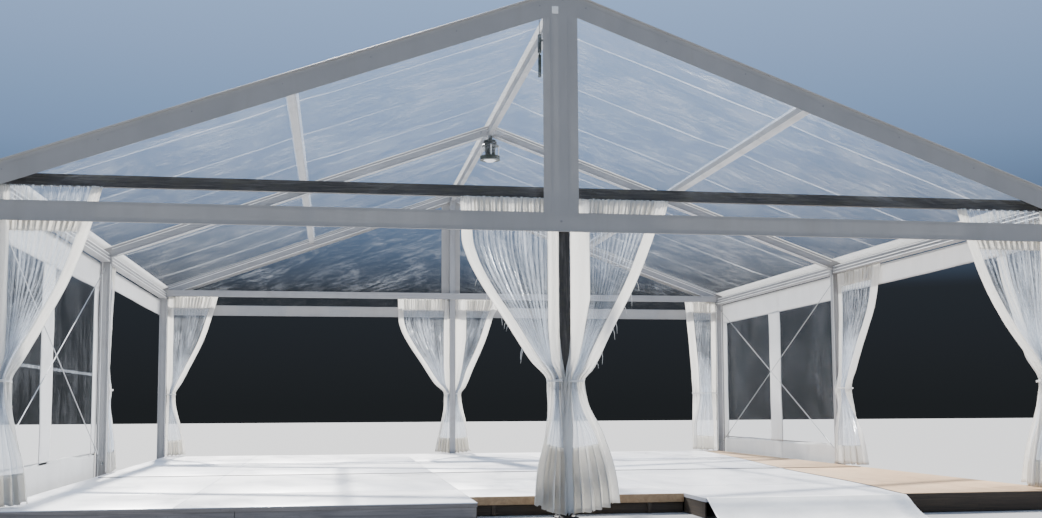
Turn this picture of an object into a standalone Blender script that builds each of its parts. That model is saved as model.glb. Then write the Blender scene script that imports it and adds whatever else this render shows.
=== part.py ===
"""Clear-roofed marquee tent of two bays, from ground level up. Metres, +Z up, front gable at -Y."""
import math

import bmesh
import bpy
from mathutils import Matrix, Vector

# driving sizes of the frame
SPAN_WIDTH = 10.0
BAY_LENGTH = 5.0
EAVES_HEIGHT = 2.99
RIDGE_RISE = 1.80
PROFILE_DEPTH = 0.13
PROFILE_WIDTH = 0.07
GROOVE_WIDTH = 0.014
GROOVE_DEPTH = 0.007
GROOVE_SPACING = 0.074
POST_WIDTH = 0.10
POST_DEPTH = 0.05
POST_SETBACK = 0.02
BASE_THICKNESS = 0.012
BASE_LENGTH = 0.26
BASE_WIDTH = 0.22
PURLIN_WIDTH = 0.10
PURLIN_HEIGHT = 0.11
SLOPE_PURLIN_WIDTH = 0.08
SLOPE_PURLIN_HEIGHT = 0.06
RIDGE_PURLIN_WIDTH = 0.07
RIDGE_PURLIN_HEIGHT = 0.10
BAR_HEIGHT = 0.105
BAR_WIDTH = 0.05
BAR_DROP = 0.06
WIRE_RADIUS = 0.005

# driving sizes of the covers
SHEET_THICKNESS = 0.004
BAND_HEIGHT = 0.175
BAND_DROP = 0.205
EDGE_OVERHANG = 0.10
BORDER_RISE = 0.10
WALL_FOOT = 0.10
TIE_HEIGHT = 1.24
CURTAIN_DEPTH = 0.075
DOOR_CURTAIN_WIDTH = 1.0
SIDE_CURTAIN_WIDTH = 0.95

# driving sizes of the floor and the fittings
DECK_HEIGHT = 0.18
DECK_THICKNESS = 0.035
DECK_MARGIN = 0.015
DECK_OVERHANG = 0.35
PLY_WIDTH = 1.22
PLY_SETBACK = 0.15
PANEL_GAP = 0.003
NOTCH_DEPTH = 0.63
NOTCH_LEFT = 0.85
NOTCH_RIGHT = 1.20
BEARER_WIDTH = 0.12
APRON_REACH = 0.45
APRON_MARGIN = 0.28
LAMP_RADIUS = 0.14
LAMP_HEIGHT = 0.34
GAP = 0.0003

# derived places
HALF_SPAN = SPAN_WIDTH / 2
PITCH = math.atan2(RIDGE_RISE, HALF_SPAN)
COS = math.cos(PITCH)
TAN = RIDGE_RISE / HALF_SPAN
HALF_DEPTH = PROFILE_DEPTH / 2
HALF_WIDTH = PROFILE_WIDTH / 2
LEG_INNER = HALF_SPAN - HALF_DEPTH
LEG_OUTER = HALF_SPAN + HALF_DEPTH
BAND_TOP = EAVES_HEIGHT - BAND_DROP
BAND_LOW = BAND_TOP - BAND_HEIGHT
BAR_LOW = EAVES_HEIGHT - BAR_DROP
DECK_EDGE = LEG_INNER - DECK_MARGIN
DECK_LOW = DECK_HEIGHT - DECK_THICKNESS
PLY_EDGE = DECK_EDGE - PLY_WIDTH
FRONT_EDGE = -BAY_LENGTH - DECK_OVERHANG
FRAMES = (("front", -BAY_LENGTH), ("middle", 0.0), ("rear", BAY_LENGTH))
BAYS = (("front", -BAY_LENGTH, 0.0), ("rear", 0.0, BAY_LENGTH))
SIDES = (("left", -1), ("right", 1))

LOOKS = {
    "aluminium": ((0.60, 0.61, 0.62), 0.9, 0.38, 1.0),
    "dark": ((0.16, 0.15, 0.14), 0.8, 0.5, 1.0),
    "white": ((0.86, 0.87, 0.89), 0.0, 0.5, 1.0),
    "clear": ((0.85, 0.89, 0.93), 0.0, 0.12, 0.35),
    "timber": ((0.35, 0.22, 0.12), 0.0, 0.7, 1.0),
    "ply": ((0.66, 0.52, 0.36), 0.0, 0.6, 1.0),
    "opal": ((0.95, 0.95, 0.92), 0.0, 0.4, 1.0),
}

for old in list(bpy.data.objects):
    bpy.data.objects.remove(old, do_unlink=True)

tent = bpy.data.collections.new("marquee_tent")
tools = bpy.data.collections.new("cutters")
for group in (tent, tools):
    bpy.context.scene.collection.children.link(group)


def place(name, data, look, location=(0, 0, 0)):
    """Make an object in the tent's collection, with its own material."""
    obj = bpy.data.objects.new(name, data)
    obj.location = location
    tent.objects.link(obj)
    colour, metallic, roughness, alpha = LOOKS[look]
    material = bpy.data.materials.new(name + "_material")
    material.use_nodes = True
    shader = material.node_tree.nodes["Principled BSDF"]
    shader.inputs["Base Color"].default_value = (*colour, 1.0)
    shader.inputs["Metallic"].default_value = metallic
    shader.inputs["Roughness"].default_value = roughness
    shader.inputs["Alpha"].default_value = alpha
    data.materials.append(material)
    return obj


def to_mesh(name, bm):
    """Close a bmesh into new mesh data."""
    bmesh.ops.recalc_face_normals(bm, faces=bm.faces)
    mesh = bpy.data.meshes.new(name)
    bm.to_mesh(mesh)
    bm.free()
    return mesh


def box(name, look, low, high):
    """A block between two corners, placed by its centre."""
    centre = Vector([(a + b) / 2 for a, b in zip(low, high)])
    size = [b - a for a, b in zip(low, high)]
    bm = bmesh.new()
    bmesh.ops.create_cube(bm, size=1.0, matrix=Matrix.Diagonal((*size, 1.0)))
    return place(name, to_mesh(name, bm), look, centre)


def weld_curve(obj, look):
    """Replace a curve object by its closed mesh."""
    bpy.context.view_layer.update()
    evaluated = obj.evaluated_get(bpy.context.evaluated_depsgraph_get())
    mesh = bpy.data.meshes.new_from_object(evaluated)
    bm = bmesh.new()
    bm.from_mesh(mesh)
    bmesh.ops.remove_doubles(bm, verts=bm.verts, dist=0.00002)
    bmesh.ops.recalc_face_normals(bm, faces=bm.faces)
    bm.to_mesh(mesh)
    bm.free()
    name = obj.name
    matrix = obj.matrix_world.copy()
    mesh.materials.clear()
    bpy.data.objects.remove(obj, do_unlink=True)
    solid = place(name, mesh, look)
    solid.matrix_world = matrix
    return solid


def panel(name, look, outline, facing, low, high):
    """A flat outline with a thickness, from a filled 2D curve. It faces Y, Z or X."""
    curve = bpy.data.curves.new(name, "CURVE")
    curve.dimensions = "2D"
    curve.fill_mode = "BOTH"
    curve.extrude = (high - low) / 2
    spline = curve.splines.new("POLY")
    spline.points.add(len(outline) - 1)
    for point, (a, b) in zip(spline.points, outline):
        point.co = (a, b, 0.0, 1.0)
    spline.use_cyclic_u = True
    obj = place(name, curve, look)
    middle = (low + high) / 2
    if facing == "Y":
        obj.location = (0, middle, 0)
        obj.rotation_euler = (math.pi / 2, 0, 0)
    elif facing == "X":
        obj.location = (middle, 0, 0)
        obj.rotation_euler = (math.pi / 2, 0, math.pi / 2)
    else:
        obj.location = (0, 0, middle)
    return weld_curve(obj, look)


def wire(name, look, start, end, radius):
    """A straight round wire, from a bevelled curve."""
    curve = bpy.data.curves.new(name, "CURVE")
    curve.dimensions = "3D"
    curve.bevel_depth = radius
    curve.bevel_resolution = 2
    curve.use_fill_caps = True
    spline = curve.splines.new("POLY")
    spline.points.add(1)
    spline.points[0].co = (*start, 1.0)
    spline.points[1].co = (*end, 1.0)
    return weld_curve(place(name, curve, look), look)


def disc(name, look, centre, low_radius, high_radius, height, sides=24):
    """A round slab, tapered where its two radii differ."""
    bm = bmesh.new()
    bmesh.ops.create_cone(bm, cap_ends=True, segments=sides, radius1=low_radius, radius2=high_radius,
                          depth=height)
    obj = place(name, to_mesh(name, bm), look, centre)
    obj.data.shade_smooth()
    obj.data.set_sharp_from_angle(angle=math.radians(35))
    return obj


def loft(name, look, sections):
    """Skin unlike horizontal outlines, each given as a height and its corner points."""
    bm = bmesh.new()
    rings = [[bm.verts.new((x, y, z)) for x, y in points] for z, points in sections]
    count = len(rings[0])
    for lower, upper in zip(rings, rings[1:]):
        for i in range(count):
            j = (i + 1) % count
            bm.faces.new((lower[i], lower[j], upper[j], upper[i]))
    bm.faces.new(rings[0])
    bm.faces.new(list(reversed(rings[-1])))
    return place(name, to_mesh(name, bm), look)


def combine(obj, other, operation):
    """Unite with, or cut by, a tool object that is kept among the cutters."""
    tent.objects.unlink(other)
    tools.objects.link(other)
    other.name = "tool_" + other.name
    other.hide_render = True
    other.display_type = "WIRE"
    modifier = obj.modifiers.new(operation.lower(), "BOOLEAN")
    modifier.operation = operation
    modifier.solver = "EXACT"
    modifier.object = other
    return obj


def slope_z(run, offset=0.0):
    """Height of the rafter's centre line at a run from the ridge, moved square to the slope by offset."""
    return EAVES_HEIGHT + (HALF_SPAN - run) * TAN + offset / COS


def bay_edges(bay, start, end):
    """Where a bay's sheet starts and ends along Y."""
    low = start + PANEL_GAP / 2 if bay == "rear" else start - HALF_WIDTH
    high = end - PANEL_GAP / 2 if bay == "front" else end + HALF_WIDTH
    return low, high


def add_base(post, x, y, length, width):
    """Weld a base plate under a leg or post."""
    plate = box(post.name + "_plate", "aluminium", (x - length / 2, y - width / 2, 0.0),
                (x + length / 2, y + width / 2, BASE_THICKNESS))
    combine(post, plate, "UNION")


def groove_faces(obj, lines, y):
    """Cut sheet grooves along both wide faces of a frame profile."""
    for face in (-1, 1):
        depth = sorted((y + face * (HALF_WIDTH - GROOVE_DEPTH), y + face * (HALF_WIDTH + GROOVE_DEPTH)))
        for count, outline in enumerate(lines):
            cutter = panel(f"{obj.name}_groove_{face}_{count}", "aluminium", outline, "Y", *depth)
            combine(obj, cutter, "DIFFERENCE")


def portal_frames():
    """Mitred portal frames: grooved legs on base plates, and grooved rafters."""
    top_in = slope_z(LEG_INNER, -HALF_DEPTH)
    top_out = slope_z(LEG_OUTER, HALF_DEPTH)
    half = GROOVE_WIDTH / 2
    offsets = (-GROOVE_SPACING / 2, GROOVE_SPACING / 2)
    beyond = PROFILE_DEPTH
    for frame, y in FRAMES:
        for side, s in SIDES:
            outline = [(s * LEG_OUTER, BASE_THICKNESS / 2), (s * LEG_INNER, BASE_THICKNESS / 2),
                       (s * LEG_INNER, top_in - GAP), (s * LEG_OUTER, top_out - GAP)]
            leg = panel(f"{frame}_{side}_leg", "aluminium", outline, "Y", y - HALF_WIDTH, y + HALF_WIDTH)
            foot = 3 * BASE_THICKNESS
            lines = [[(s * (HALF_SPAN + at - half), foot), (s * (HALF_SPAN + at + half), foot),
                      (s * (HALF_SPAN + at + half), EAVES_HEIGHT + beyond),
                      (s * (HALF_SPAN + at - half), EAVES_HEIGHT + beyond)] for at in offsets]
            groove_faces(leg, lines, y)
            add_base(leg, s * HALF_SPAN, y, BASE_LENGTH, BASE_WIDTH)
            outline = [(s * LEG_OUTER, top_out + GAP), (s * LEG_INNER, top_in + GAP),
                       (s * GAP, slope_z(0, -HALF_DEPTH)), (s * GAP, slope_z(0, HALF_DEPTH))]
            rafter = panel(f"{frame}_{side}_rafter", "aluminium", outline, "Y", y - HALF_WIDTH, y + HALF_WIDTH)
            far = HALF_SPAN + beyond
            lines = [[(s * far, slope_z(far, at - half)), (s * -beyond, slope_z(-beyond, at - half)),
                      (s * -beyond, slope_z(-beyond, at + half)), (s * far, slope_z(far, at + half))]
                     for at in offsets]
            groove_faces(rafter, lines, y)


def purlins():
    """Ridge, slope and eaves purlins between the frames."""
    ridge_low = slope_z(0, -RIDGE_PURLIN_HEIGHT / 2) - PURLIN_HEIGHT / 8
    run = HALF_SPAN / 2
    reach = SLOPE_PURLIN_WIDTH / 2 * COS
    for bay, start, end in BAYS:
        low = start + HALF_WIDTH + GAP
        high = end - HALF_WIDTH - GAP
        box(f"{bay}_ridge_purlin", "aluminium", (-RIDGE_PURLIN_WIDTH / 2, low, ridge_low),
            (RIDGE_PURLIN_WIDTH / 2, high, ridge_low + RIDGE_PURLIN_HEIGHT))
        for side, s in SIDES:
            under = HALF_DEPTH - SLOPE_PURLIN_HEIGHT
            outline = [(s * (run - reach), slope_z(run - reach, under)),
                       (s * (run + reach), slope_z(run + reach, under)),
                       (s * (run + reach), slope_z(run + reach, HALF_DEPTH)),
                       (s * (run - reach), slope_z(run - reach, HALF_DEPTH))]
            panel(f"{bay}_{side}_slope_purlin", "aluminium", outline, "Y", low, high)
            x = sorted((s * (HALF_SPAN - PURLIN_WIDTH / 2), s * (HALF_SPAN + PURLIN_WIDTH / 2)))
            top = EAVES_HEIGHT + GAP * 10
            purlin = box(f"{bay}_{side}_eaves_purlin", "aluminium", (x[0], low, top - PURLIN_HEIGHT),
                         (x[1], high, top))
            inner = s * (HALF_SPAN - PURLIN_WIDTH / 2)
            for level in (0.30, 0.62):
                z = top - level * PURLIN_HEIGHT
                edges = sorted((inner - s * GROOVE_DEPTH, inner + s * GROOVE_DEPTH))
                cutter = box(f"{purlin.name}_groove_{level}", "aluminium",
                             (edges[0], low - GROOVE_WIDTH, z - GROOVE_WIDTH / 2),
                             (edges[1], high + GROOVE_WIDTH, z + GROOVE_WIDTH / 2))
                combine(purlin, cutter, "DIFFERENCE")


def gable_ends():
    """Gable posts, eaves bars and the welded gable sheets."""
    for frame, y in (("front", -BAY_LENGTH), ("rear", BAY_LENGTH)):
        out = -1 if y < 0 else 1
        half = POST_WIDTH / 2
        top = slope_z(0, -HALF_DEPTH) - GAP / COS
        side_top = slope_z(half, -HALF_DEPTH) - GAP / COS
        outline = [(-half, BASE_THICKNESS / 2), (half, BASE_THICKNESS / 2), (half, side_top), (0, top),
                   (-half, side_top)]
        face = HALF_WIDTH - POST_SETBACK
        depth = sorted((y + out * face, y + out * (face - POST_DEPTH)))
        post = panel(f"{frame}_gable_post", "aluminium", outline, "Y", *depth)
        add_base(post, 0.0, y, 2 * POST_WIDTH, 2 * POST_WIDTH)
        inside = y - out * (HALF_WIDTH + GAP)
        depth = sorted((inside, inside - out * BAR_WIDTH))
        box(f"{frame}_eaves_bar", "dark" if frame == "front" else "aluminium", (-LEG_INNER, depth[0], BAR_LOW),
            (LEG_INNER, depth[1], BAR_LOW + BAR_HEIGHT))
        outside = y + out * (HALF_WIDTH + GAP)
        depth = sorted((outside, outside + out * SHEET_THICKNESS))
        edge = HALF_SPAN + EDGE_OVERHANG
        shoulder = slope_z(edge, BORDER_RISE)
        outline = [(-edge, BAND_LOW), (edge, BAND_LOW), (edge, shoulder), (0, slope_z(0, BORDER_RISE)),
                   (-edge, shoulder)]
        panel(f"{frame}_gable_sheet", "white", outline, "Y", *depth)


def roof_sheets():
    """One clear roof sheet over each bay, from eave to eave."""
    lift = HALF_DEPTH + GAP
    edge = HALF_SPAN + EDGE_OVERHANG - BASE_THICKNESS
    for bay, start, end in BAYS:
        outline = [(-edge, slope_z(edge, lift)), (0, slope_z(0, lift)), (edge, slope_z(edge, lift)),
                   (edge, slope_z(edge, lift + SHEET_THICKNESS)), (0, slope_z(0, lift + SHEET_THICKNESS)),
                   (-edge, slope_z(edge, lift + SHEET_THICKNESS))]
        panel(f"{bay}_roof_sheet", "clear", outline, "Y", *bay_edges(bay, start, end))


def side_walls():
    """White valances on the open bays, and closed walls with cross wires on the others."""
    near = LEG_OUTER + GAP
    for bay, side, s in (("rear", "left", -1), ("front", "right", 1)):
        start, end = next((a, b) for name, a, b in BAYS if name == bay)
        x = sorted((s * near, s * (near + SHEET_THICKNESS)))
        low, high = bay_edges(bay, start, end)
        box(f"{bay}_{side}_valance", "white", (x[0], low, BAND_LOW), (x[1], high, BAND_TOP))
    for bay, side, s in (("front", "left", -1), ("rear", "right", 1)):
        start, end = next((a, b) for name, a, b in BAYS if name == bay)
        x = sorted((s * near, s * (near + SHEET_THICKNESS)))
        low, high = bay_edges(bay, start, end)
        box(f"{bay}_{side}_wall", "clear", (x[0], low, WALL_FOOT), (x[1], high, BAND_TOP))
        ends = (start + HALF_WIDTH + GAP, end - HALF_WIDTH - GAP)
        lug = 2 * BASE_THICKNESS
        levels = (DECK_HEIGHT + PROFILE_DEPTH, BAND_TOP)
        for name, low_z, high_z, shift in (("rising", *levels, 1), ("falling", *reversed(levels), -1)):
            at = s * (HALF_SPAN + shift * 2 * WIRE_RADIUS)
            brace = wire(f"{bay}_{side}_{name}_wire", "dark", (at, ends[0] + lug / 2, low_z),
                         (at, ends[1] - lug / 2, high_z), WIRE_RADIUS)
            for count, (edge, step, z) in enumerate(((ends[0], lug, low_z), (ends[1], -lug, high_z))):
                y = sorted((edge, edge + step))
                plate = box(f"{brace.name}_lug_{count}", "dark", (at - 1.4 * WIRE_RADIUS, y[0], z - lug),
                            (at + 1.4 * WIRE_RADIUS, y[1], z + lug))
                combine(brace, plate, "UNION")


def between(share):
    """A height between the floor (0), the tie (1) and the bottom of the white band (2)."""
    if share <= 1:
        return DECK_HEIGHT + share * (TIE_HEIGHT - DECK_HEIGHT)
    return TIE_HEIGHT + (share - 1) * (BAND_LOW - TIE_HEIGHT)


def centre_curtain(frame, y, side, s):
    """A gable curtain drawn back beside the middle post, and lapped in front of it below the tie."""
    out = -1 if y < 0 else 1
    foot = BASE_THICKNESS + 0.02 if frame == "front" else DECK_HEIGHT + GAP
    back = 0.02 if frame == "front" else CURTAIN_DEPTH
    wide = DOOR_CURTAIN_WIDTH * (1.0 if side == "left" else 1.1)
    flare = (0.16, 0.27, 0.31) if side == "left" else (0.26, 0.42, 0.50)
    half = POST_WIDTH / 2 + 0.001
    face = HALF_WIDTH - POST_SETBACK + 0.001
    slices = ((BAR_LOW - GAP, 0.94 * wide, CURTAIN_DEPTH, HALF_WIDTH - 0.001, 0.010),
              (between(2), 0.85 * wide, 0.90 * CURTAIN_DEPTH, HALF_WIDTH - 0.001, 0.010),
              (between(1.52), 0.55 * wide, 0.90 * CURTAIN_DEPTH, 0.040, 0.012),
              (between(1.15), 0.26 * wide, 0.95 * CURTAIN_DEPTH, 0.060, 0.030),
              (between(1), 0.17 * wide, CURTAIN_DEPTH, 0.080, half - GAP),
              (between(0.54), flare[0], 0.75 * CURTAIN_DEPTH, 0.130, half - GAP),
              (between(0.16), flare[1], back, 0.170, half - GAP),
              (foot, flare[2], back, 0.190, half - GAP))
    sections = []
    for z, reach, back, front, flap in slices:
        points = [(reach, -back), (half, -back), (half, face), (half - flap, face), (half - flap, front),
                  (reach, front)]
        sections.append((z, [(s * x, y + out * depth) for x, depth in points]))
    loft(f"{frame}_centre_{side}_curtain", "clear", sections)


def corner_curtain(frame, y, side, s):
    """A gable curtain drawn back to a corner leg."""
    out = -1 if y < 0 else 1
    inner = LEG_INNER - GAP
    wide = DOOR_CURTAIN_WIDTH
    slices = ((BAR_LOW - GAP, wide, HALF_WIDTH - 0.001), (between(2), 0.90 * wide, HALF_WIDTH - 0.001),
              (between(1.52), 0.60 * wide, 0.040), (between(1.15), 0.28 * wide, 0.055),
              (between(1), 0.16, 0.070), (between(0.54), 0.22, 0.080), (DECK_HEIGHT + GAP, 0.34, 0.110))
    if (frame, side) == ("rear", "right"):
        slices = ((BAR_LOW - GAP, 0.62 * wide, HALF_WIDTH - 0.001), (between(1.15), 0.50 * wide, 0.040),
                  (DECK_HEIGHT + GAP, 0.48 * wide, 0.050))
    sections = []
    for z, reach, front in slices:
        points = [(inner, -CURTAIN_DEPTH), (inner - reach, -CURTAIN_DEPTH), (inner - reach, front), (inner, front)]
        sections.append((z, [(s * x, y + out * depth) for x, depth in points]))
    loft(f"{frame}_corner_{side}_curtain", "clear", sections)


def side_curtain(name, s, y, along, start, wide):
    """A side curtain hanging under the eaves purlin, drawn along the wall line to its leg."""
    slices = ((EAVES_HEIGHT + GAP * 10 - PURLIN_HEIGHT - GAP, wide, 0.060), (between(1.92), 0.88 * wide, 0.060),
              (between(1.52), 0.58 * wide, 0.080), (between(1.15), 0.30 * wide, 0.110), (between(1), 0.17, 0.130),
              (between(0.54), 0.24, 0.150), (DECK_HEIGHT + GAP, 0.36, 0.180))
    face = HALF_SPAN + PURLIN_WIDTH / 2
    sections = []
    for z, reach, depth in slices:
        points = [(face - depth, start), (face, start), (face, start + reach), (face - depth, start + reach)]
        sections.append((z, [(s * x, y + along * run) for x, run in points]))
    loft(name, "clear", sections)


def curtains():
    """Gathered curtains drawn back to the posts, each a plain closed solid."""
    for frame, y in (("front", -BAY_LENGTH), ("rear", BAY_LENGTH)):
        for side, s in SIDES:
            centre_curtain(frame, y, side, s)
            corner_curtain(frame, y, side, s)
    corner = 2 * CURTAIN_DEPTH + 0.01
    side_curtain("front_right_side_curtain", 1, -BAY_LENGTH, 1, corner, SIDE_CURTAIN_WIDTH)
    side_curtain("middle_right_side_curtain", 1, 0.0, -1, HALF_WIDTH + GAP, 1.1 * SIDE_CURTAIN_WIDTH)
    side_curtain("middle_left_side_curtain", -1, 0.0, 1, HALF_WIDTH + GAP, 0.75 * SIDE_CURTAIN_WIDTH)


def lamp():
    """Pendant lamp under the middle ridge: stem, canopy, four rods, ring and diffuser."""
    top = slope_z(0, -HALF_DEPTH) - GAP / COS
    stem = LAMP_HEIGHT / 12
    outline = [(-stem, top - 0.27 * LAMP_HEIGHT), (stem, top - 0.27 * LAMP_HEIGHT), (stem, top - stem * TAN),
               (0, top), (-stem, top - stem * TAN)]
    housing = panel("lamp_housing", "dark", outline, "Y", -stem, stem)
    canopy = disc("canopy", "dark", (0, 0, top - 0.34 * LAMP_HEIGHT), 0.93 * LAMP_RADIUS, 0.43 * LAMP_RADIUS,
                  0.18 * LAMP_HEIGHT)
    ring = disc("ring", "dark", (0, 0, top - 0.925 * LAMP_HEIGHT), 0.93 * LAMP_RADIUS, LAMP_RADIUS,
                0.15 * LAMP_HEIGHT)
    combine(housing, canopy, "UNION")
    combine(housing, ring, "UNION")
    for count, (a, b) in enumerate(((-1, 0), (1, 0), (0, -1), (0, 1))):
        x = a * 0.85 * LAMP_RADIUS
        y = b * 0.85 * LAMP_RADIUS
        rod = wire(f"rod_{count}", "dark", (x, y, top - 0.88 * LAMP_HEIGHT), (x, y, top - 0.41 * LAMP_HEIGHT), 0.006)
        combine(housing, rod, "UNION")
    thick = 0.06 * LAMP_HEIGHT
    disc("lamp_diffuser", "opal", (0, 0, top - LAMP_HEIGHT - thick / 2 - GAP), 0.4 * LAMP_RADIUS,
         0.6 * LAMP_RADIUS, thick)


def ridge_fitting():
    """Strap with a small black box hanging beside the front gable post."""
    half = 0.008
    x = -POST_WIDTH / 2 - 0.075
    y = -BAY_LENGTH
    high = slope_z(-x - half, -HALF_DEPTH) - GAP / COS
    low = slope_z(-x + half, -HALF_DEPTH) - GAP / COS
    outline = [(x - half, high - 0.22), (x + half, high - 0.22), (x + half, high), (x - half, low)]
    strap = panel("ridge_strap", "dark", outline, "Y", y - 0.01, y + 0.01)
    hook = box("hook_box", "dark", (x - 0.025, y - 0.025, high - 0.40), (x + 0.025, y + 0.025, high - 0.20))
    combine(strap, hook, "UNION")


def floor():
    """Raised floor: white deck notched round the front post, ply edge, bearers and apron sheet."""
    notch = FRONT_EDGE + NOTCH_DEPTH
    split = -0.18 * BAY_LENGTH
    rear = BAY_LENGTH - HALF_WIDTH - DECK_MARGIN
    outline = [(-DECK_EDGE, FRONT_EDGE), (-NOTCH_LEFT, FRONT_EDGE), (-NOTCH_LEFT, notch), (NOTCH_RIGHT, notch),
               (NOTCH_RIGHT, FRONT_EDGE), (PLY_EDGE, FRONT_EDGE), (PLY_EDGE, split - PANEL_GAP / 2),
               (-DECK_EDGE, split - PANEL_GAP / 2)]
    panel("front_floor_deck", "white", outline, "Z", DECK_LOW, DECK_HEIGHT)
    box("rear_floor_deck", "white", (-DECK_EDGE, split + PANEL_GAP / 2, DECK_LOW), (PLY_EDGE, rear, DECK_HEIGHT))
    box("ply_edge_deck", "ply", (PLY_EDGE + PANEL_GAP, FRONT_EDGE + PLY_SETBACK, DECK_LOW),
        (DECK_EDGE, rear, DECK_HEIGHT))
    half = BEARER_WIDTH / 2
    left = -0.78 * HALF_SPAN
    for name, x, start in (("left", left, FRONT_EDGE + PLY_SETBACK), ("middle", 0.0, notch + half),
                           ("right", PLY_EDGE + half, FRONT_EDGE + PLY_SETBACK + half)):
        box(f"{name}_floor_bearer", "timber", (x - half, start, 0.0), (x + half, rear - BEARER_WIDTH, DECK_LOW - GAP))
    front = FRONT_EDGE - GAP
    outline = [(front, DECK_HEIGHT + 0.001), (front, DECK_LOW), (front - 0.95 * APRON_REACH, 0.0),
               (front - APRON_REACH, 0.006)]
    panel("front_apron_sheet", "white", outline, "X", NOTCH_RIGHT + 0.01, PLY_EDGE - APRON_MARGIN)


portal_frames()
purlins()
gable_ends()
roof_sheets()
side_walls()
curtains()
lamp()
ridge_fitting()
floor()
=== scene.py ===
"""Looks for the clear marquee: materials, sheets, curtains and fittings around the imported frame."""
import math
import random

import bmesh
import bpy
import numpy as np
from mathutils import Matrix, Vector, noise


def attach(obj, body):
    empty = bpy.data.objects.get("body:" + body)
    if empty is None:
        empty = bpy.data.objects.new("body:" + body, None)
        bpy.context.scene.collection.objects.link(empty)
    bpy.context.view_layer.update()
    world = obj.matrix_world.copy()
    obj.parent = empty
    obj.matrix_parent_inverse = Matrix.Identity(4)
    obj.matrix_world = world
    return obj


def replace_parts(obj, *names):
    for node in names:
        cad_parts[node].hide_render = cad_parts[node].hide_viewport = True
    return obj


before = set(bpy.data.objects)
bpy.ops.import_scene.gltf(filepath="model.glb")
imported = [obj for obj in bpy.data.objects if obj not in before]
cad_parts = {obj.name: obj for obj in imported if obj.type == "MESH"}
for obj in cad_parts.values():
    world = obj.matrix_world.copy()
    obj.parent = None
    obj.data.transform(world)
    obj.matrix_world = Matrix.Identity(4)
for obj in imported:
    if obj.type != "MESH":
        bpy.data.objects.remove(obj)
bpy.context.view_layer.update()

# places shared with the frame, in metres
HALF_SPAN = 5.0
EAVES = 2.99
RISE = 1.80
TAN = RISE / HALF_SPAN
PITCH = math.atan(TAN)
COS = math.cos(PITCH)
SIN = math.sin(PITCH)
HALF_WIDTH = 0.035  # of a frame profile, along the tent
HALF_HEIGHT = 0.065  # of a frame profile, square to its slope
LEG_INNER = 4.935
MID_SLOPE = 2.5  # purlins halfway up the slopes
BAND_LOW = 2.61  # white band across the gable sheets
BAND_TOP = 2.785
BORDER = 0.10  # half width of the gable sheets' sloping borders
BAR_LOW = 2.93  # eaves bars
BAR_TOP = 3.035
RAIL = 2.95  # top key of every curtain curve
TIE = 1.24  # curtain ties
DECK = 0.18  # top of the floor
DECK_FOOT = DECK + 0.0015
BOARD_LOW = DECK - 0.035
SIDES = (-1, 1)
FRAMES = (("front", -5.0, (1,)), ("middle", 0.0, (-1, 1)), ("rear", 5.0, (-1,)))  # with the ways their inner faces look
X = Vector((1, 0, 0))
Y = Vector((0, 1, 0))
Z = Vector((0, 0, 1))


def slope_z(run, offset=0.0):
    """Height over the ground of the rafter's centre line, moved square to the slope."""
    return EAVES + (HALF_SPAN - abs(run)) * TAN + offset / COS


def smooth(a, b, x):
    """Soft step from 0 at a to 1 at b."""
    t = min(1.0, max(0.0, (x - a) / (b - a)))
    return t * t * (3 - 2 * t)


def hum(x, y, z):
    """Smooth random field, about -1 to 1."""
    return noise.noise(Vector((x, y, z)))


def steps(low, high, size):
    """Even steps of about size from low to high."""
    count = max(2, int(round(abs(high - low) / size)) + 1)
    return [low + (high - low) * i / (count - 1) for i in range(count)]


def curve_through(points):
    """Smooth monotone reading of (key, value) points, given in rising order of key."""
    xs = np.array([p[0] for p in points], float)
    ys = np.array([p[1] for p in points], float)
    slopes = np.diff(ys) / np.diff(xs)
    tangents = np.zeros(len(xs))
    tangents[0] = slopes[0]
    tangents[-1] = slopes[-1]
    for i in range(1, len(xs) - 1):
        if slopes[i - 1] * slopes[i] > 0:
            tangents[i] = 2 * slopes[i - 1] * slopes[i] / (slopes[i - 1] + slopes[i])

    def read(x):
        x = min(max(x, xs[0]), xs[-1])
        i = min(max(int(np.searchsorted(xs, x)) - 1, 0), len(xs) - 2)
        h = xs[i + 1] - xs[i]
        t = (x - xs[i]) / h
        return float((1 + 2 * t) * (1 - t) ** 2 * ys[i] + t * (1 - t) ** 2 * h * tangents[i]
                     + t * t * (3 - 2 * t) * ys[i + 1] + t * t * (t - 1) * h * tangents[i + 1])
    return read


# line between the white floor and the plywood: place across for each place along
PLY_LINE = curve_through(((-5.35, 3.135), (-5.18, 3.16), (-3.87, 3.40), (-1.14, 3.70), (1.81, 4.18), (4.95, 4.60)))


# materials
def tinted(colour, share):
    """A colour times share, at most white."""
    return tuple(min(1.0, share * c) for c in colour)


def fill_ramp(node, stops):
    elements = node.color_ramp.elements
    while len(elements) < len(stops):
        elements.new(0.5)
    for element, (at, colour) in zip(elements, stops):
        element.position = at
        element.color = (*colour, 1.0)


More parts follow.
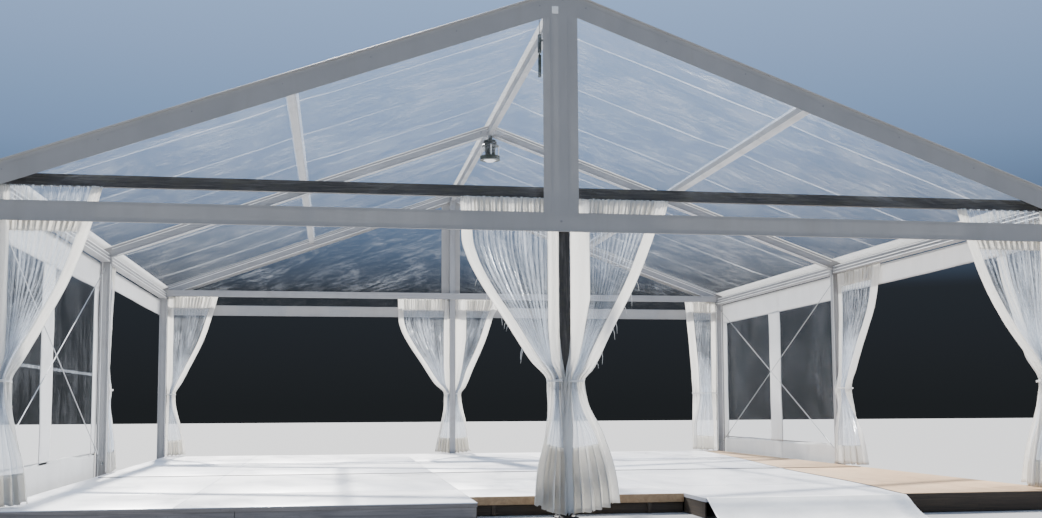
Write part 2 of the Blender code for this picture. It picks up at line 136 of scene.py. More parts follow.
class Look:
    """A node material under construction, in object coordinates (metres)."""

    def __init__(self, name, colour, roughness, metallic=0.0, **sockets):
        self.material = bpy.data.materials.new(name)
        self.material.use_nodes = True
        self.nodes = self.material.node_tree.nodes
        self.shader = self.nodes["Principled BSDF"]
        for key, value in {"Base Color": colour, "Roughness": roughness, "Metallic": metallic, **sockets}.items():
            self.feed(self.shader.inputs[key.replace("_", " ")], value)
        self.coords = self.add("TexCoord", {}).outputs["Object"]

    def feed(self, socket, value):
        """Link an output to the socket, or set the socket's constant."""
        if isinstance(value, bpy.types.NodeSocket):
            self.material.node_tree.links.new(value, socket)
        else:
            socket.default_value = (*value, 1.0) if socket.type == "RGBA" else value

    def add(self, kind, inputs, **settings):
        node = self.nodes.new("ShaderNode" + kind)
        for key, value in settings.items():
            setattr(node, key, value)
        for key, value in inputs.items():
            self.feed(node.inputs[key], value)
        return node

    def noise(self, scale, detail, rough, wander=0.0, stretch=(1, 1, 1), turn=(0, 0, 0)):
        at = self.add("Mapping", {"Vector": self.coords, "Scale": stretch, "Rotation": turn}).outputs["Vector"]
        return self.add("TexNoise", {"Vector": at, "Scale": scale, "Detail": detail, "Roughness": rough,
                                     "Distortion": wander}).outputs["Fac"]

    def ramp(self, value, *stops):
        node = self.add("ValToRGB", {"Fac": value})
        fill_ramp(node, stops)
        return node.outputs["Color"]

    def mix(self, a, b, factor):
        return self.add("Mix", {6: a, 7: b, 0: factor}, data_type="RGBA").outputs[2]

    def math(self, operation, a, b=0.0):
        return self.add("Math", {0: a, 1: b}, operation=operation).outputs[0]

    def range(self, value, low, high, start=0.0, end=1.0):
        """Map start..end of the value to low..high."""
        return self.add("MapRange", {"Value": value, "From Min": start, "From Max": end, "To Min": low,
                                     "To Max": high}).outputs["Result"]

    def axis(self, name):
        return self.add("SeparateXYZ", {"Vector": self.coords}).outputs[name]

    def bsdf(self, kind, colour):
        return self.add(kind, {"Color": colour}).outputs[0]

    def blend(self, share, a, b):
        return self.add("MixShader", {0: share, 1: a, 2: b}).outputs[0]

    def finish(self, colour, roughness, height, strength, distance, surface=None):
        """Feed the shader, with a bump from height, and hand the material over."""
        normal = self.add("Bump", {"Strength": strength, "Distance": distance, "Height": height}).outputs["Normal"]
        for key, value in (("Base Color", colour), ("Roughness", roughness), ("Normal", normal)):
            self.feed(self.shader.inputs[key], value)
        if surface:
            self.feed(self.nodes["Material Output"].inputs["Surface"], surface)
        return self.material


def aluminium(name, stretch, lean=0.0):
    """Mill-finish extrusion with die lines along its length, rubs and dull patches."""
    tone = 0.36
    turn = (0, lean, 0)
    look = Look(name, (tone, tone, tone), 0.45, 0.35)
    fine = look.noise(1.0, 6, 0.65, 0.0, stretch, turn)
    dull = look.noise(1.9, 5, 0.6, 0.6)
    rubs = look.noise(1.0, 3, 0.7, 1.2, tuple(0.12 * s for s in stretch), turn)
    base = look.ramp(fine, *((at, tinted(shade, tone)) for at, shade in (
        (0.25, (0.74, 0.745, 0.76)), (0.50, (0.96, 0.96, 0.97)), (0.75, (1.10, 1.09, 1.07)))))
    worn = look.mix(base, tinted((0.66, 0.63, 0.58), tone), look.range(dull, 0.0, 0.6, 0.52, 0.76))
    rubbed = look.mix(worn, tinted((1.30, 1.22, 1.22), tone), look.range(rubs, 0.0, 0.5, 0.58, 0.72))
    return look.finish(rubbed, look.range(dull, 0.34, 0.58, 0.3, 0.7), fine, 0.2, 0.0005)


def painted_shade_bar(name, stretch):
    """Dark brown-black bar with rough grey streaks along it and stains. The near-black colour is painted shade on an
    aluminium part, and on the eaves bar it is also painted dark reflection.
    """
    look = Look(name, (0.05, 0.045, 0.04), 0.6, 0.1)
    streak = look.noise(1.0, 8, 0.72, 0.8, stretch)
    stain = look.noise(5.0, 6, 0.7, 0.5, (1, 3, 3))
    base = look.ramp(streak, (0.30, (0.010, 0.009, 0.008)), (0.50, (0.035, 0.031, 0.028)),
                     (0.66, (0.10, 0.092, 0.082)), (0.82, (0.17, 0.155, 0.14)))
    stained = look.mix(base, (0.055, 0.050, 0.030), look.range(stain, 0.0, 0.8, 0.50, 0.68))
    return look.finish(stained, look.range(streak, 0.42, 0.75), streak, 0.5, 0.003)


def white_vinyl(name, tone, share, grime):
    """Coated fabric: faint scrim weave, handling marks and yellowed streaks; share of the light comes through."""
    look = Look(name, tone, 0.42, Specular_IOR_Level=0.45)
    weave = look.math("MULTIPLY", *(look.add(
        "TexWave", {"Vector": look.coords, "Scale": 130.0, "Distortion": 0.4}, wave_type="BANDS",
        bands_direction=way).outputs["Fac"] for way in "XZ"))
    cloud = look.noise(3.2, 5, 0.62, 0.7, (1, 1, 0.55))
    drip = look.noise(1.0, 4, 0.6, 0.4, (9, 9, 0.9))
    crease = look.noise(14.0, 4, 0.55, 0.8)
    base = look.ramp(cloud, (0.3, tinted(tone, 0.90)), (0.62, tone), (0.85, tinted(tone, 1.07)))
    dirty = (0.74 * tone[0], 0.70 * tone[1], 0.62 * tone[2])
    height = look.math("ADD", look.math("MULTIPLY", weave, 0.12), look.math("MULTIPLY", crease, 0.6))
    surface = share and look.blend(share, look.shader.outputs[0], look.bsdf("BsdfTranslucent", (0.93, 0.91, 0.87)))
    return look.finish(look.mix(base, dirty, look.range(drip, 0.0, grime, 0.55, 0.85)),
                       look.range(cloud, 0.34, 0.52, 0.3, 0.7), height, 0.35, 0.003, surface)


def clear_vinyl(name, streak, low, cloudy, lines, milky=None, cloth=False, glow=0.25, relief=1.0, wander=0.4,
                clean_below=None, edge_on=0.10):
    """Clear film: glossy, see-through, with milky clouds, and long bright crease and scuff lines painted white as
    highlights glinting on the film.

    low is the least share of white, cloudy what clouds add, lines what the painted crease highlights add, edge_on what
    a grazing view adds.
    milky is (height where it starts, height where it is full, share), for film that is bunched up there. A cloth
    film reads its marks in its own flat cut, kept in the mesh as an attribute, so they follow the gathers.
    """
    tint = (0.86, 0.90, 0.95)
    look = Look(name, tint, 0.14, Specular_IOR_Level=0.8, Coat_Weight=0.5, Coat_Roughness=0.05)
    if cloth:
        look.coords = look.add("Attribute", {}, attribute_name="cloth").outputs["Vector"]
    drift = look.noise(1.0, 6, 0.60, wander, streak)
    cloud = look.noise(0.9, 5, 0.62, 1.4)
    fine = look.noise(1.0, 5, 0.66, wander, tuple(2.7 * s for s in streak))

    def product(a, b):
        return look.math("MULTIPLY", a, b)

    def threads(source, width):
        off = look.math("ABSOLUTE", look.math("SUBTRACT", source, 0.5))
        return look.range(off, 1.0, 0.0, 0.0, width)

    # bright crease lines, coarse and fine: painted highlights, white film where light would glint on the creases
    crease = look.math("MAXIMUM", threads(drift, 0.022), product(threads(fine, 0.035), 0.7))
    haze = product(look.range(drift, 0.25, 1.0, 0.35, 0.75), product(look.range(cloud, 0.0, 1.0, 0.36, 0.66), cloudy))
    marks = product(crease, product(look.range(cloud, 0.25, 1.0, 0.42, 0.62), lines))
    total = look.math("ADD", look.math("ADD", haze, marks), low)
    facing = look.add("LayerWeight", {"Blend": 0.22}).outputs["Fresnel"]
    total = look.math("ADD", total, product(facing, edge_on))
    if milky:
        start, full, share = milky
        bunch = look.range(look.axis("Y" if cloth else "Z"), share, 0.0, full, start)
        total = look.math("ADD", total, product(bunch, look.range(fine, 0.5, 1.3, 0.3, 0.7)))
    if clean_below:
        total = product(total, look.range(look.axis("Z"), 0.22, 1.0, *clean_below))
    total = look.math("MINIMUM", total, 0.93)
    body = look.blend(glow, look.shader.outputs[0], look.bsdf("BsdfTranslucent", (0.92, 0.94, 0.97)))
    return look.finish(tint, look.range(drift, 0.08, 0.30, 0.35, 0.75), look.math("ADD", drift, product(fine, 0.4)),
                       0.6 * relief, 0.010 * relief,
                       look.blend(total, look.bsdf("BsdfTransparent", (0.96, 0.975, 0.99)), body))


def wood(name, dark, light, stretch, roughness, depth):
    """Sawn wood with grain along one way, knots of stain and worn light patches."""
    look = Look(name, light, roughness)
    grain = look.noise(1.0, 9, 0.7, 1.4, stretch)
    stain = look.noise(1.6, 5, 0.65, 0.8)
    speck = look.noise(38.0, 3, 0.6)
    middle = tuple((a + b) / 2 for a, b in zip(dark, light))
    base = look.ramp(grain, (0.25, dark), (0.50, middle), (0.72, light))
    stained = look.mix(base, tinted(middle, 0.55), look.range(stain, 0.0, depth, 0.52, 0.75))
    specked = look.mix(stained, tinted(dark, 0.5), look.range(speck, 0.0, 0.35, 0.62, 0.75))
    return look.finish(specked, look.range(grain, roughness - 0.1, roughness + 0.2), grain, 0.4, 0.0025)


def floor_vinyl():
    """White floor boards: satin, scuffed, with faint dust and boot marks."""
    look = Look("white_floor", (0.82, 0.82, 0.84), 0.34, Specular_IOR_Level=0.5, Coat_Weight=0.25, Coat_Roughness=0.2)
    cloud = look.noise(1.3, 6, 0.62, 0.8, (1, 0.5, 1))
    scuff = look.noise(1.0, 5, 0.7, 1.0, (30, 3, 1), (0, 0, 0.6))
    speck = look.noise(26.0, 3, 0.6)
    base = look.ramp(cloud, (0.25, (0.70, 0.70, 0.73)), (0.5, (0.82, 0.82, 0.845)), (0.75, (0.88, 0.87, 0.87)))
    worn = look.mix(base, (0.55, 0.53, 0.52), look.range(scuff, 0.0, 0.35, 0.62, 0.80))
    return look.finish(look.mix(worn, (0.40, 0.37, 0.33), look.range(speck, 0.0, 0.4, 0.70, 0.80)),
                       look.range(cloud, 0.26, 0.50, 0.3, 0.7), look.noise(4.0, 5, 0.6), 0.25, 0.004)


def plain(name, colour, roughness, metallic=0.0, scale=30.0, spread=0.35, depth=0.0008, coat=0.0):
    """Small fittings: a mottled tone, a rough grain and edge rubs."""
    look = Look(name, colour, roughness, metallic, Coat_Weight=coat)
    mottle = look.noise(scale, 6, 0.65, 0.4)
    shades = look.ramp(mottle, (0.28, tinted(colour, 1 - spread)), (0.5, colour), (0.75, tinted(colour, 1 + spread)))
    rough = look.range(mottle, max(0.05, roughness - 0.15), min(1.0, roughness + 0.15), 0.3, 0.7)
    return look.finish(shades, rough, mottle, 0.4, depth)


M = {
    "alu_z": aluminium("aluminium_upright", (70, 70, 1.6)),
    "alu_left": aluminium("aluminium_left_slope", (1.6, 70, 70), PITCH),
    "alu_right": aluminium("aluminium_right_slope", (1.6, 70, 70), -PITCH),
    "alu_y": aluminium("aluminium_lengthwise", (70, 1.6, 70)),
    "alu_x": aluminium("aluminium_crosswise", (1.6, 70, 70)),
    # front eaves bar and front gable post: aluminium painted near-black as the shade on their camera side, and the bar
    # also as dark reflection
    "dark_bar": painted_shade_bar("dark_bar", (3, 60, 70)),
    "dark_post": painted_shade_bar("dark_post", (60, 60, 3)),
    "white": white_vinyl("white_vinyl", (0.88, 0.88, 0.88), 0.42, 0.35),
    # white vinyl toned down to dark grey: painted shade for the gable borders, wall welds and valance hems
    "band": white_vinyl("white_vinyl_painted_shade", (0.335, 0.33, 0.325), 0.10, 0.35),
    "cloth": white_vinyl("white_curtain_cloth", (0.93, 0.905, 0.865), 0.70, 0.25),
    "cord": white_vinyl("white_cord", (0.90, 0.90, 0.88), 0.0, 0.3),
    "strap": white_vinyl("white_strap", (0.72, 0.72, 0.70), 0.0, 0.8),
    "apron": white_vinyl("white_apron", (0.93, 0.915, 0.89), 0.0, 0.25),
    "window": clear_vinyl("clear_gable_film", (0.55, 7.5, 0), 0.004, 0.065, 0.28, cloth=True, glow=0.12,
                          clean_below=(2.98, 3.10), edge_on=0.05),
    "roof": clear_vinyl("clear_roof_film", (0.55, 8.0, 0.6), 0.003, 0.055, 0.28, glow=0.12, edge_on=0.05),
    "wall": clear_vinyl("clear_wall_film", (5, 9.0, 0.6), 0.004, 0.025, 0.14, glow=0.10, relief=0.04, wander=0.12,
                        edge_on=0.03),
    "curtain": clear_vinyl("clear_curtain_film", (26, 0.8, 1), 0.02, 0.06, 0.52, milky=(1.95, 1.20, 0.50),
                           cloth=True, glow=0.30, relief=0.5),
    "seam": clear_vinyl("hazy_seam", (1.5, 8.0, 1.5), 0.20, 0.16, 0.15),
    "floor": floor_vinyl(),
    "ply": wood("plywood", (0.36, 0.21, 0.10), (0.60, 0.40, 0.22), (14, 1.1, 14), 0.55, 0.35),
    # near-black wood: painted shade for the plywood's shaded front face and for the void under the notch
    "ply_edge": wood("painted_shade_fascia", (0.022, 0.015, 0.010), (0.11, 0.075, 0.045), (2, 2, 90), 0.7, 0.5),
    "timber": wood("timber", (0.10, 0.06, 0.032), (0.33, 0.21, 0.12), (16, 1.2, 16), 0.7, 0.5),
    "fascia": wood("grey_fascia", (0.15, 0.13, 0.12), (0.36, 0.32, 0.29), (1.1, 20, 26), 0.6, 0.4),
    "joint": plain("joint_strip", (0.045, 0.042, 0.040), 0.7),
    "steel": plain("galvanised_steel", (0.45, 0.46, 0.47), 0.42, 0.85, 55.0, 0.3),
    "bracket": plain("bracket_steel", (0.27, 0.27, 0.27), 0.5, 0.6, 40.0, 0.35),
    "bolt": plain("bolt_steel", (0.32, 0.32, 0.33), 0.35, 0.9, 60.0, 0.3),
    "wire": plain("steel_wire", (0.42, 0.43, 0.44), 0.35, 0.9, 120.0, 0.4),
    "black": plain("lamp_black", (0.022, 0.032, 0.024), 0.38, 0.4, 45.0, 0.6),
    "white_cap": plain("white_plastic", (0.78, 0.78, 0.76), 0.4, 0.0, 40.0, 0.08),
    "opal": plain("opal_glass", (0.90, 0.90, 0.87), 0.25, 0.0, 25.0, 0.05, 0.0004, 0.5),
}


# mesh makers
def add_object(name, mesh, look, slot=None):
    obj = bpy.data.objects.new(name, mesh)
    bpy.context.scene.collection.objects.link(obj)
    mesh.materials.append(M[look])
    mesh.shade_smooth()
    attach(obj, "root")
    return obj


def from_lists(name, verts, faces, look, slot):
    mesh = bpy.data.meshes.new(name)
    mesh.from_pydata([tuple(v) for v in verts], [], faces)
    mesh.update()
    return add_object(name, mesh, look, slot)


def mark_cloth(obj, flat):
    """Keep each point's place in the flat cut with the mesh, for the film's marks."""
    layer = obj.data.attributes.new("cloth", "FLOAT_VECTOR", "POINT")
    layer.data.foreach_set("vector", [v for p in flat for v in p])


def grid(rows, columns):
    """Quad faces over a grid of points stored row by row."""
    return [(r * columns + c, r * columns + c + 1, (r + 1) * columns + c + 1, (r + 1) * columns + c)
            for r in range(rows - 1) for c in range(columns - 1)]


def patches(*parts):
    """Verts and faces of grids of points, each given as (point maker, us, vs)."""
    verts = []
    faces = []
    for point, us, vs in parts:
        base = len(verts)
        verts.extend(point(u, v) for v in vs for u in us)
        faces.extend(tuple(base + i for i in f) for f in grid(len(vs), len(us)))
    return verts, faces


def thicken(obj, thickness):
    modifier = obj.modifiers.new("thickness", "SOLIDIFY")
    modifier.thickness = thickness
    modifier.offset = 0.0
    modifier.use_even_offset = False
    return obj


def lifted(p, depth, axis):
    """A point from its two other coordinates and its place along axis."""
    p = list(p)
    p.insert(axis, depth)
    return p


def ring(radius, count, z):
    """Points of a level circle around the lamp's middle line."""
    turns = [k * math.tau / count for k in range(count)]
    return [Vector((radius * math.cos(t), radius * math.sin(t), z)) for t in turns]


class Solids:
    """Many small closed solids gathered into one piece."""

    def __init__(self):
        self.bm = bmesh.new()

    def block(self, low, high, bevel=0.0, turn=Matrix()):
        centre = Vector([(a + b) / 2 for a, b in zip(low, high)])
        size = [abs(b - a) for a, b in zip(low, high)]
        matrix = Matrix.Translation(centre) @ turn @ Matrix.Diagonal((*size, 1.0))
        made = bmesh.ops.create_cube(self.bm, size=1.0, matrix=matrix)
        if bevel:
            edges = list({e for v in made["verts"] for e in v.link_edges})
            bmesh.ops.bevel(self.bm, geom=edges, offset=bevel, segments=2, profile=0.5, affect="EDGES")

    def rod(self, start, end, radius, sides, end_radius=None):
        start = Vector(start)
        end = Vector(end)
        along = end - start
        turn = along.to_track_quat("Z", "Y").to_matrix().to_4x4()
        bmesh.ops.create_cone(self.bm, cap_ends=True, segments=sides, radius1=radius,
                              radius2=radius if end_radius is None else end_radius, depth=along.length,
                              matrix=Matrix.Translation((start + end) / 2) @ turn)

    def stack(self, p, base, way, *parts, axis=2):
        """Rods in line along axis through p, each given as (start, end, radius, sides), from base one way."""
        for low, high, *rest in parts:
            self.rod(lifted(p, base + way * low, axis), lifted(p, base + way * high, axis), *rest)

    def prism(self, outline, low, high, axis=1):
        """An outline in the two other axes, extruded along axis."""
        near, far = ([self.bm.verts.new(lifted(p, depth, axis)) for p in outline] for depth in (low, high))
        self.bm.faces.new(near)
        self.bm.faces.new(far[::-1])
        for i in range(len(outline)):
            j = (i + 1) % len(outline)
            self.bm.faces.new((near[i], far[i], far[j], near[j]))

    def skin(self, rings, closed=False):
        """Faces around rings of points, with caps on the open ends."""
        rings = [[self.bm.verts.new(p) for p in points] for points in rings]
        for a, b in zip(rings, rings[1:] + rings[:1] if closed else rings[1:]):
            for i in range(len(a)):
                j = (i + 1) % len(a)
                self.bm.faces.new((a[i], a[j], b[j], b[i]))
        if not closed:
            self.bm.faces.new(rings[0])
            self.bm.faces.new(rings[-1][::-1])

    def sweep(self, points, half, lift):
        """A flat strip through points: half is its half width vector, lift its half thickness vector."""
        self.skin([(p + half + lift, p - half + lift, p - half - lift, p + half - lift)
                   for p in (Vector(p) for p in points)])

    def tube(self, points, radius, sides, closed=False):
        """A round cord through points; radius is a number or a reading along it."""
        points = [Vector(p) for p in points]
        count = len(points)
        rings = []
        for i, p in enumerate(points):
            ahead = points[(i + 1) % count] if closed or i < count - 1 else p
            behind = points[i - 1] if closed or i > 0 else p
            along = (ahead - behind).normalized()
            side = along.orthogonal().normalized() if abs(along.z) > 0.95 else along.cross(Z).normalized()
            up = side.cross(along)
            r = radius(i / max(1, count - 1)) if callable(radius) else radius
            turns = [k * math.tau / sides for k in range(sides)]
            rings.append([p + (side * math.cos(t) + up * math.sin(t)) * r for t in turns])
        self.skin(rings, closed)

    def done(self, name, look, slot=None):
        bmesh.ops.recalc_face_normals(self.bm, faces=self.bm.faces)
        mesh = bpy.data.meshes.new(name)
        self.bm.to_mesh(mesh)
        self.bm.free()
        obj = add_object(name, mesh, look, slot)
        mesh.set_sharp_from_angle(angle=math.radians(35))
        return obj


# covers
def gable_sheet(side, y0, out):
    """Welded gable sheet: white borders and centre strip, and two clear windows."""
    edge = 5.1
    strip = 0.165

    def off(extra=0.0):
        """Place along the tent, extra outside the film."""
        return y0 + out * (0.0373 + extra)

    def film(x, t):
        z = BAND_LOW + (slope_z(x, BORDER) - BAND_LOW) * t
        slack = smooth(0.0, 0.18, min(z - BAND_TOP, (slope_z(x, -BORDER) - z) * COS, abs(x) - strip))
        crease = hum(x * 0.55 + 3 * out, (z * COS + abs(x) * SIN) * 5.2, 1.3) * 0.009
        crease += hum(x * 1.7, z * 9.5 + abs(x) * 1.2, 4.1) * 0.005
        crease += abs(hum((x + z) * 0.7, (z - x * 0.25) * 3.1, 7.7)) * 0.010 - 0.003
        return x, off(hum(x * 0.8, z * 1.1, 9.0) * 0.0012 + slack * crease), z

    verts, faces = patches((film, steps(-edge, edge, 0.045), steps(0, 1, 0.02)))
    sheet = from_lists(f"{side}_gable_film", verts, faces, "window", "white_pvc")
    mark_cloth(sheet, [(abs(x) * COS - z * SIN + 9 * (x > 0), z * COS + abs(x) * SIN, z) for x, _, z in verts])
    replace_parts(sheet, f"{side}_gable_sheet")

    border = Solids()
    across = Y * out

    def strips(line, square, *rows):
        """Flat strips along a line: each is shifted square to it and outwards, with half a width and a thickness."""
        for shift, outwards, half, thick in rows:
            border.sweep([p + square * shift + across * outwards for p in line], square * half, across * thick)

    for s in SIDES:
        square = Vector((s * SIN, 0, COS))
        line = [Vector((s * x, off(0.0004 * math.sin(x * 5)), slope_z(x))) for x in steps(0.0, edge, 0.12)]
        strips(line, square, (0, 0, BORDER, 0.0016), (0.014 - BORDER, 0.002, 0.013, 0.0012),
               (BORDER - 0.045, 0.002, 0.004, 0.0010))
        border.tube([p + square * BORDER + across * 0.006 for p in line], 0.009, 10)
    low = BAND_LOW + 0.004
    middle = (low + BAND_TOP) / 2
    band = [Vector((x, off(0.0015 + 0.003 * hum(x * 1.3, 2, y0)), middle)) for x in steps(-edge, edge, 0.12)]
    strips(band, Z, (0, 0, BAND_TOP - middle, 0.0016), (0.075, 0.0022, 0.012, 0.0010), (-0.068, 0.0022, 0.015, 0.0012))
    border.tube([p - Z * 0.085 + across * 0.001 for p in band], 0.006, 8)
    tall = [Vector((-0.028, off(0.0008), z)) for z in steps(BAND_TOP - 0.05, slope_z(0) - 0.02, 0.12)]
    strips(tall, X, (0, 0, strip, 0.0016), (-0.082, 0.002, 0.012, 0.0012), (0.082, 0.002, 0.012, 0.0012))
    for s in SIDES:
        corner = [Vector((s * x, off(), (BAND_TOP + slope_z(x, -BORDER)) / 2)) for x in steps(4.96, edge, 0.07)]
        hem = [Vector((s * 5.092, off(0.001), z)) for z in steps(low, slope_z(edge, BORDER) - 0.01, 0.1)]
        strips(corner, Z, (0, 0, 0.075, 0.0014))
        strips(hem, X, (0, 0, 0.008, 0.003))
    rim = border.done(f"{side}_gable_border", "band", "white_pvc")

    studs = Solids()
    for x in (-4.96, -0.03, 4.96):
        studs.stack((x, 2.705), off(), out, (0.001, 0.011, 0.011, 6), axis=1)
    for s in SIDES:
        for x in steps(0.22, 4.9, 0.78):
            studs.stack((s * x, slope_z(x, 0.02)), off(), out, (0.001, 0.005, 0.006, 8), axis=1)
    bolts = studs.done(f"{side}_gable_studs", "bracket")
    mends = Solids()
    mends.block((-0.105, off(0.0015), 4.665), (-0.045, off(0.006), 4.735), 0.002)
    mends.stack((0.0, slope_z(0, BORDER) - 0.012), off(), out, (0.002, 0.016, 0.016, 12), axis=1)
    mend = mends.done(f"{side}_gable_patch", "white_cap")
    area = sum((slope_z(x, BORDER) - BAND_LOW) for x in steps(-5.1, 5.1, 0.01)) * 0.01


def roof_sheet(bay, start, end):
    """Clear roof film over one bay, with white keder hems, seams and a ridge strip."""
    front = bay == "front"
    low = start - 0.035 if front else start + 0.0016
    high = end - 0.0016 if front else end + 0.035
    lift = HALF_HEIGHT + 0.0023
    seed = 3.0 if front else 11.0

    def film(raised=0.0):
        def read(x, y):
            slack = smooth(0.0, 0.35, min(y - low, high - y))
            slack *= smooth(0.03, 0.45, min(abs(abs(x) - MID_SLOPE), abs(x), abs(HALF_SPAN - abs(x))))
            sag = -0.016 * slack * (1 - ((y - (low + high) / 2) / 2.6) ** 2)
            crease = hum(x * 0.45 + seed, y * 3.6, 0.5) * 0.008
            crease += hum(x * 1.1 + y * 0.8, y * 8.5, seed) * 0.0045
            crease += (abs(hum(x * 0.5 + y * 0.3, y * 2.2 - x * 0.25, seed + 2)) - 0.2) * 0.012
            return x, y, slope_z(x, lift + raised + sag + crease * slack) - 0.004 * math.exp(-(x / 0.10) ** 2)
        return read

    across = sorted(set(round(v, 4) for v in steps(-5.09, 5.09, 0.085)) | {0.0, -0.02, 0.02})
    sheet = from_lists(f"{bay}_roof_film", *patches((film(), across, steps(low, high, 0.055))), "roof", "clear_pvc")
    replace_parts(sheet, f"{bay}_roof_sheet")
    near, far = (0.085, 0.062) if front else (0.062, 0.085)
    lengthwise = steps(low + near, high - far, 0.055)
    white = [(film(0.0012), across, [low, low + near / 2, low + near]),
             (film(0.0012), across, [high - far, high - far / 2, high])]
    white += [(film(0.0016), xs, lengthwise) for xs in (
        [-5.085, -5.0, -4.93], [4.93, 5.0, 5.085], [-0.085, -0.045, 0.0, 0.045, 0.085])]
    hem = thicken(from_lists(f"{bay}_roof_hem", *patches(*white), "white", "white_pvc"), 0.0024)
    hazy = [(film(0.0014), across, [y - 0.016, y, y + 0.016]) for y in (start + 5.0 * k for k in (0.17, 0.45, 0.73))]
    hazy += [(film(0.0014), xs, lengthwise) for xs in ([-2.56, -2.5, -2.44], [2.44, 2.5, 2.56])]
    seams = from_lists(f"{bay}_roof_seams", *patches(*hazy), "seam", "clear_pvc")
    cord = Solids()
    for s in SIDES:
        cord.tube([(s * 5.088, y, slope_z(5.088, lift)) for y in steps(low, high, 0.5)], 0.007, 8)
    keder = cord.done(f"{bay}_roof_cord", "strap")


def side_ends(bay, start, end):
    """Ends of a side sheet along the tent: it laps over the gable's leg."""
    return (start - 0.033, end - 0.003) if bay == "front" else (start + 0.003, end + 0.033)


def wall_surface(s, seed, slack):
    """Place on a hanging side sheet: depth out of the wall line, from its folds and creases."""
    def read(y, z):
        fall = smooth(2.80, 2.30, z)
        ripple = hum(y * 1.6, z * 0.55, seed) * 0.016 * fall
        ripple += hum(y * 6.5, z * 1.1, seed + 5) * 0.0055 * fall
        ripple += hum(y * 3.0 + z, z * 3.5, seed + 9) * 0.004 * fall
        return s * (5.0675 + slack * (0.012 * fall + max(-0.001, ripple))), y, z
    return read


def trim(solids, line, s, half, thick):
    """A flat strip just outside a side sheet."""
    solids.sweep([Vector(p) + X * s * 0.002 for p in line], half, X * s * thick)


def side_wall(bay, side, s, start, end, centre, ends, weld=None):
    """Closed side wall: clear windows between a white header, strips and skirt."""
    low, high = side_ends(bay, start, end)
    foot = 0.105
    head = 2.868
    header = 2.535
    half_strip = 0.24
    place = wall_surface(s, 2.0 + start, 1.0)
    columns = steps(low, high, 0.05)
    edges = (low, low + ends[0], centre - half_strip, centre + half_strip, high - ends[1], high)

    def sway(z, k):
        """How far an upright edge wanders along the wall."""
        return 0.020 * hum(z * 1.9, k, start) * smooth(2.7, 2.2, z)

    def skirt(y, t):
        return place(y, foot + (0.335 + 0.012 * math.sin(2.2 * y) + 0.02 * hum(y, 3, 1)) * t)

    def strip(a, b):
        """Upright strip from a to b; only its edges inside the wall sway."""
        def read(t, z):
            left = a + sway(z, 1.0) * (a > low)
            right = b + sway(z, 4.0) * (b < high)
            return place(left + (right - left) * t, z)
        return read

    film = patches((place, steps(low, high, 0.04), steps(foot, head, 0.045)))
    sheet = from_lists(f"{bay}_{side}_wall_film", *film, "wall", "clear_pvc")
    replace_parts(sheet, f"{bay}_{side}_wall")
    white = [(place, columns, steps(header, head, 0.055)), (skirt, columns, steps(0, 1, 0.12))]
    white += [(strip(a, b), steps(0, 1, 0.1), steps(0.42, 2.55, 0.05)) for a, b in zip(edges[::2], edges[1::2])]
    panels = thicken(from_lists(f"{bay}_{side}_wall_border", *patches(*white), "white", "white_pvc"), 0.0026)
    trims = Solids()
    for z in (header + 0.001, 0.44, 0.112, head):
        trim(trims, [place(y, z) for y in columns], s, Z * 0.009, 0.0016)
    for y in (low + 0.006, *edges[1:-1], high - 0.006):
        k = 1.0 if y < centre else 4.0
        line = [place(y + sway(z, k) * (y in edges), z) for z in steps(foot, head, 0.05)]
        trim(trims, line, s, Y * 0.007, 0.0014)
    extra = [panels, trims.done(f"{bay}_{side}_wall_welds", "band", "white_pvc")]
    if weld:
        rows = [weld - 0.016, weld, weld + 0.016]
        seam = patches((lambda y, z: Vector(place(y, z)) + X * s * 0.0016, columns, rows))
        extra.append(from_lists(f"{bay}_{side}_wall_seam", *seam, "seam", "clear_pvc"))
    loops = Solids()
    for y in steps(low + 0.12, high - 0.12, 0.33):
        x, _, z = place(y, 0.13)
        loops.tube([(x + s * dx, y + dy, z + dz) for dx, dy, dz in (
            (0, -0.016, 0), (0.004, -0.014, -0.03), (0.008, 0, -0.045), (0.004, 0.014, -0.03), (0, 0.016, 0))],
            0.003, 6)
    extra.append(loops.done(f"{bay}_{side}_wall_loops", "strap"))


def valance(bay, side, s, start, end):
    """White band under the eaves of an open side."""
    low, high = side_ends(bay, start, end)
    foot = 2.615
    head = 2.872
    place = wall_surface(s, 6.0 + start, 0.45)
    columns = steps(low, high, 0.05)

    def dip(y):
        """Unevenness of the lower edge."""
        return 0.006 * math.sin((y - low) * 1.25) + 0.004 * hum(y * 1.4, 0, 2)

    cloth = patches((lambda y, t: place(y, foot + dip(y) + (head - foot - dip(y)) * t), columns, steps(0, 1, 0.1)))
    band = thicken(from_lists(f"{bay}_{side}_valance_sheet", *cloth, "white", "white_pvc"), 0.0026)
    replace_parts(band, f"{bay}_{side}_valance")
    hems = Solids()
    for t in (0.0, 0.9):
        trim(hems, [place(y, 2.622 + t * 0.262 + (1 - t) * dip(y)) for y in columns], s, Z * 0.011, 0.0016)
    hem = hems.done(f"{bay}_{side}_valance_hem", "band", "white_pvc")


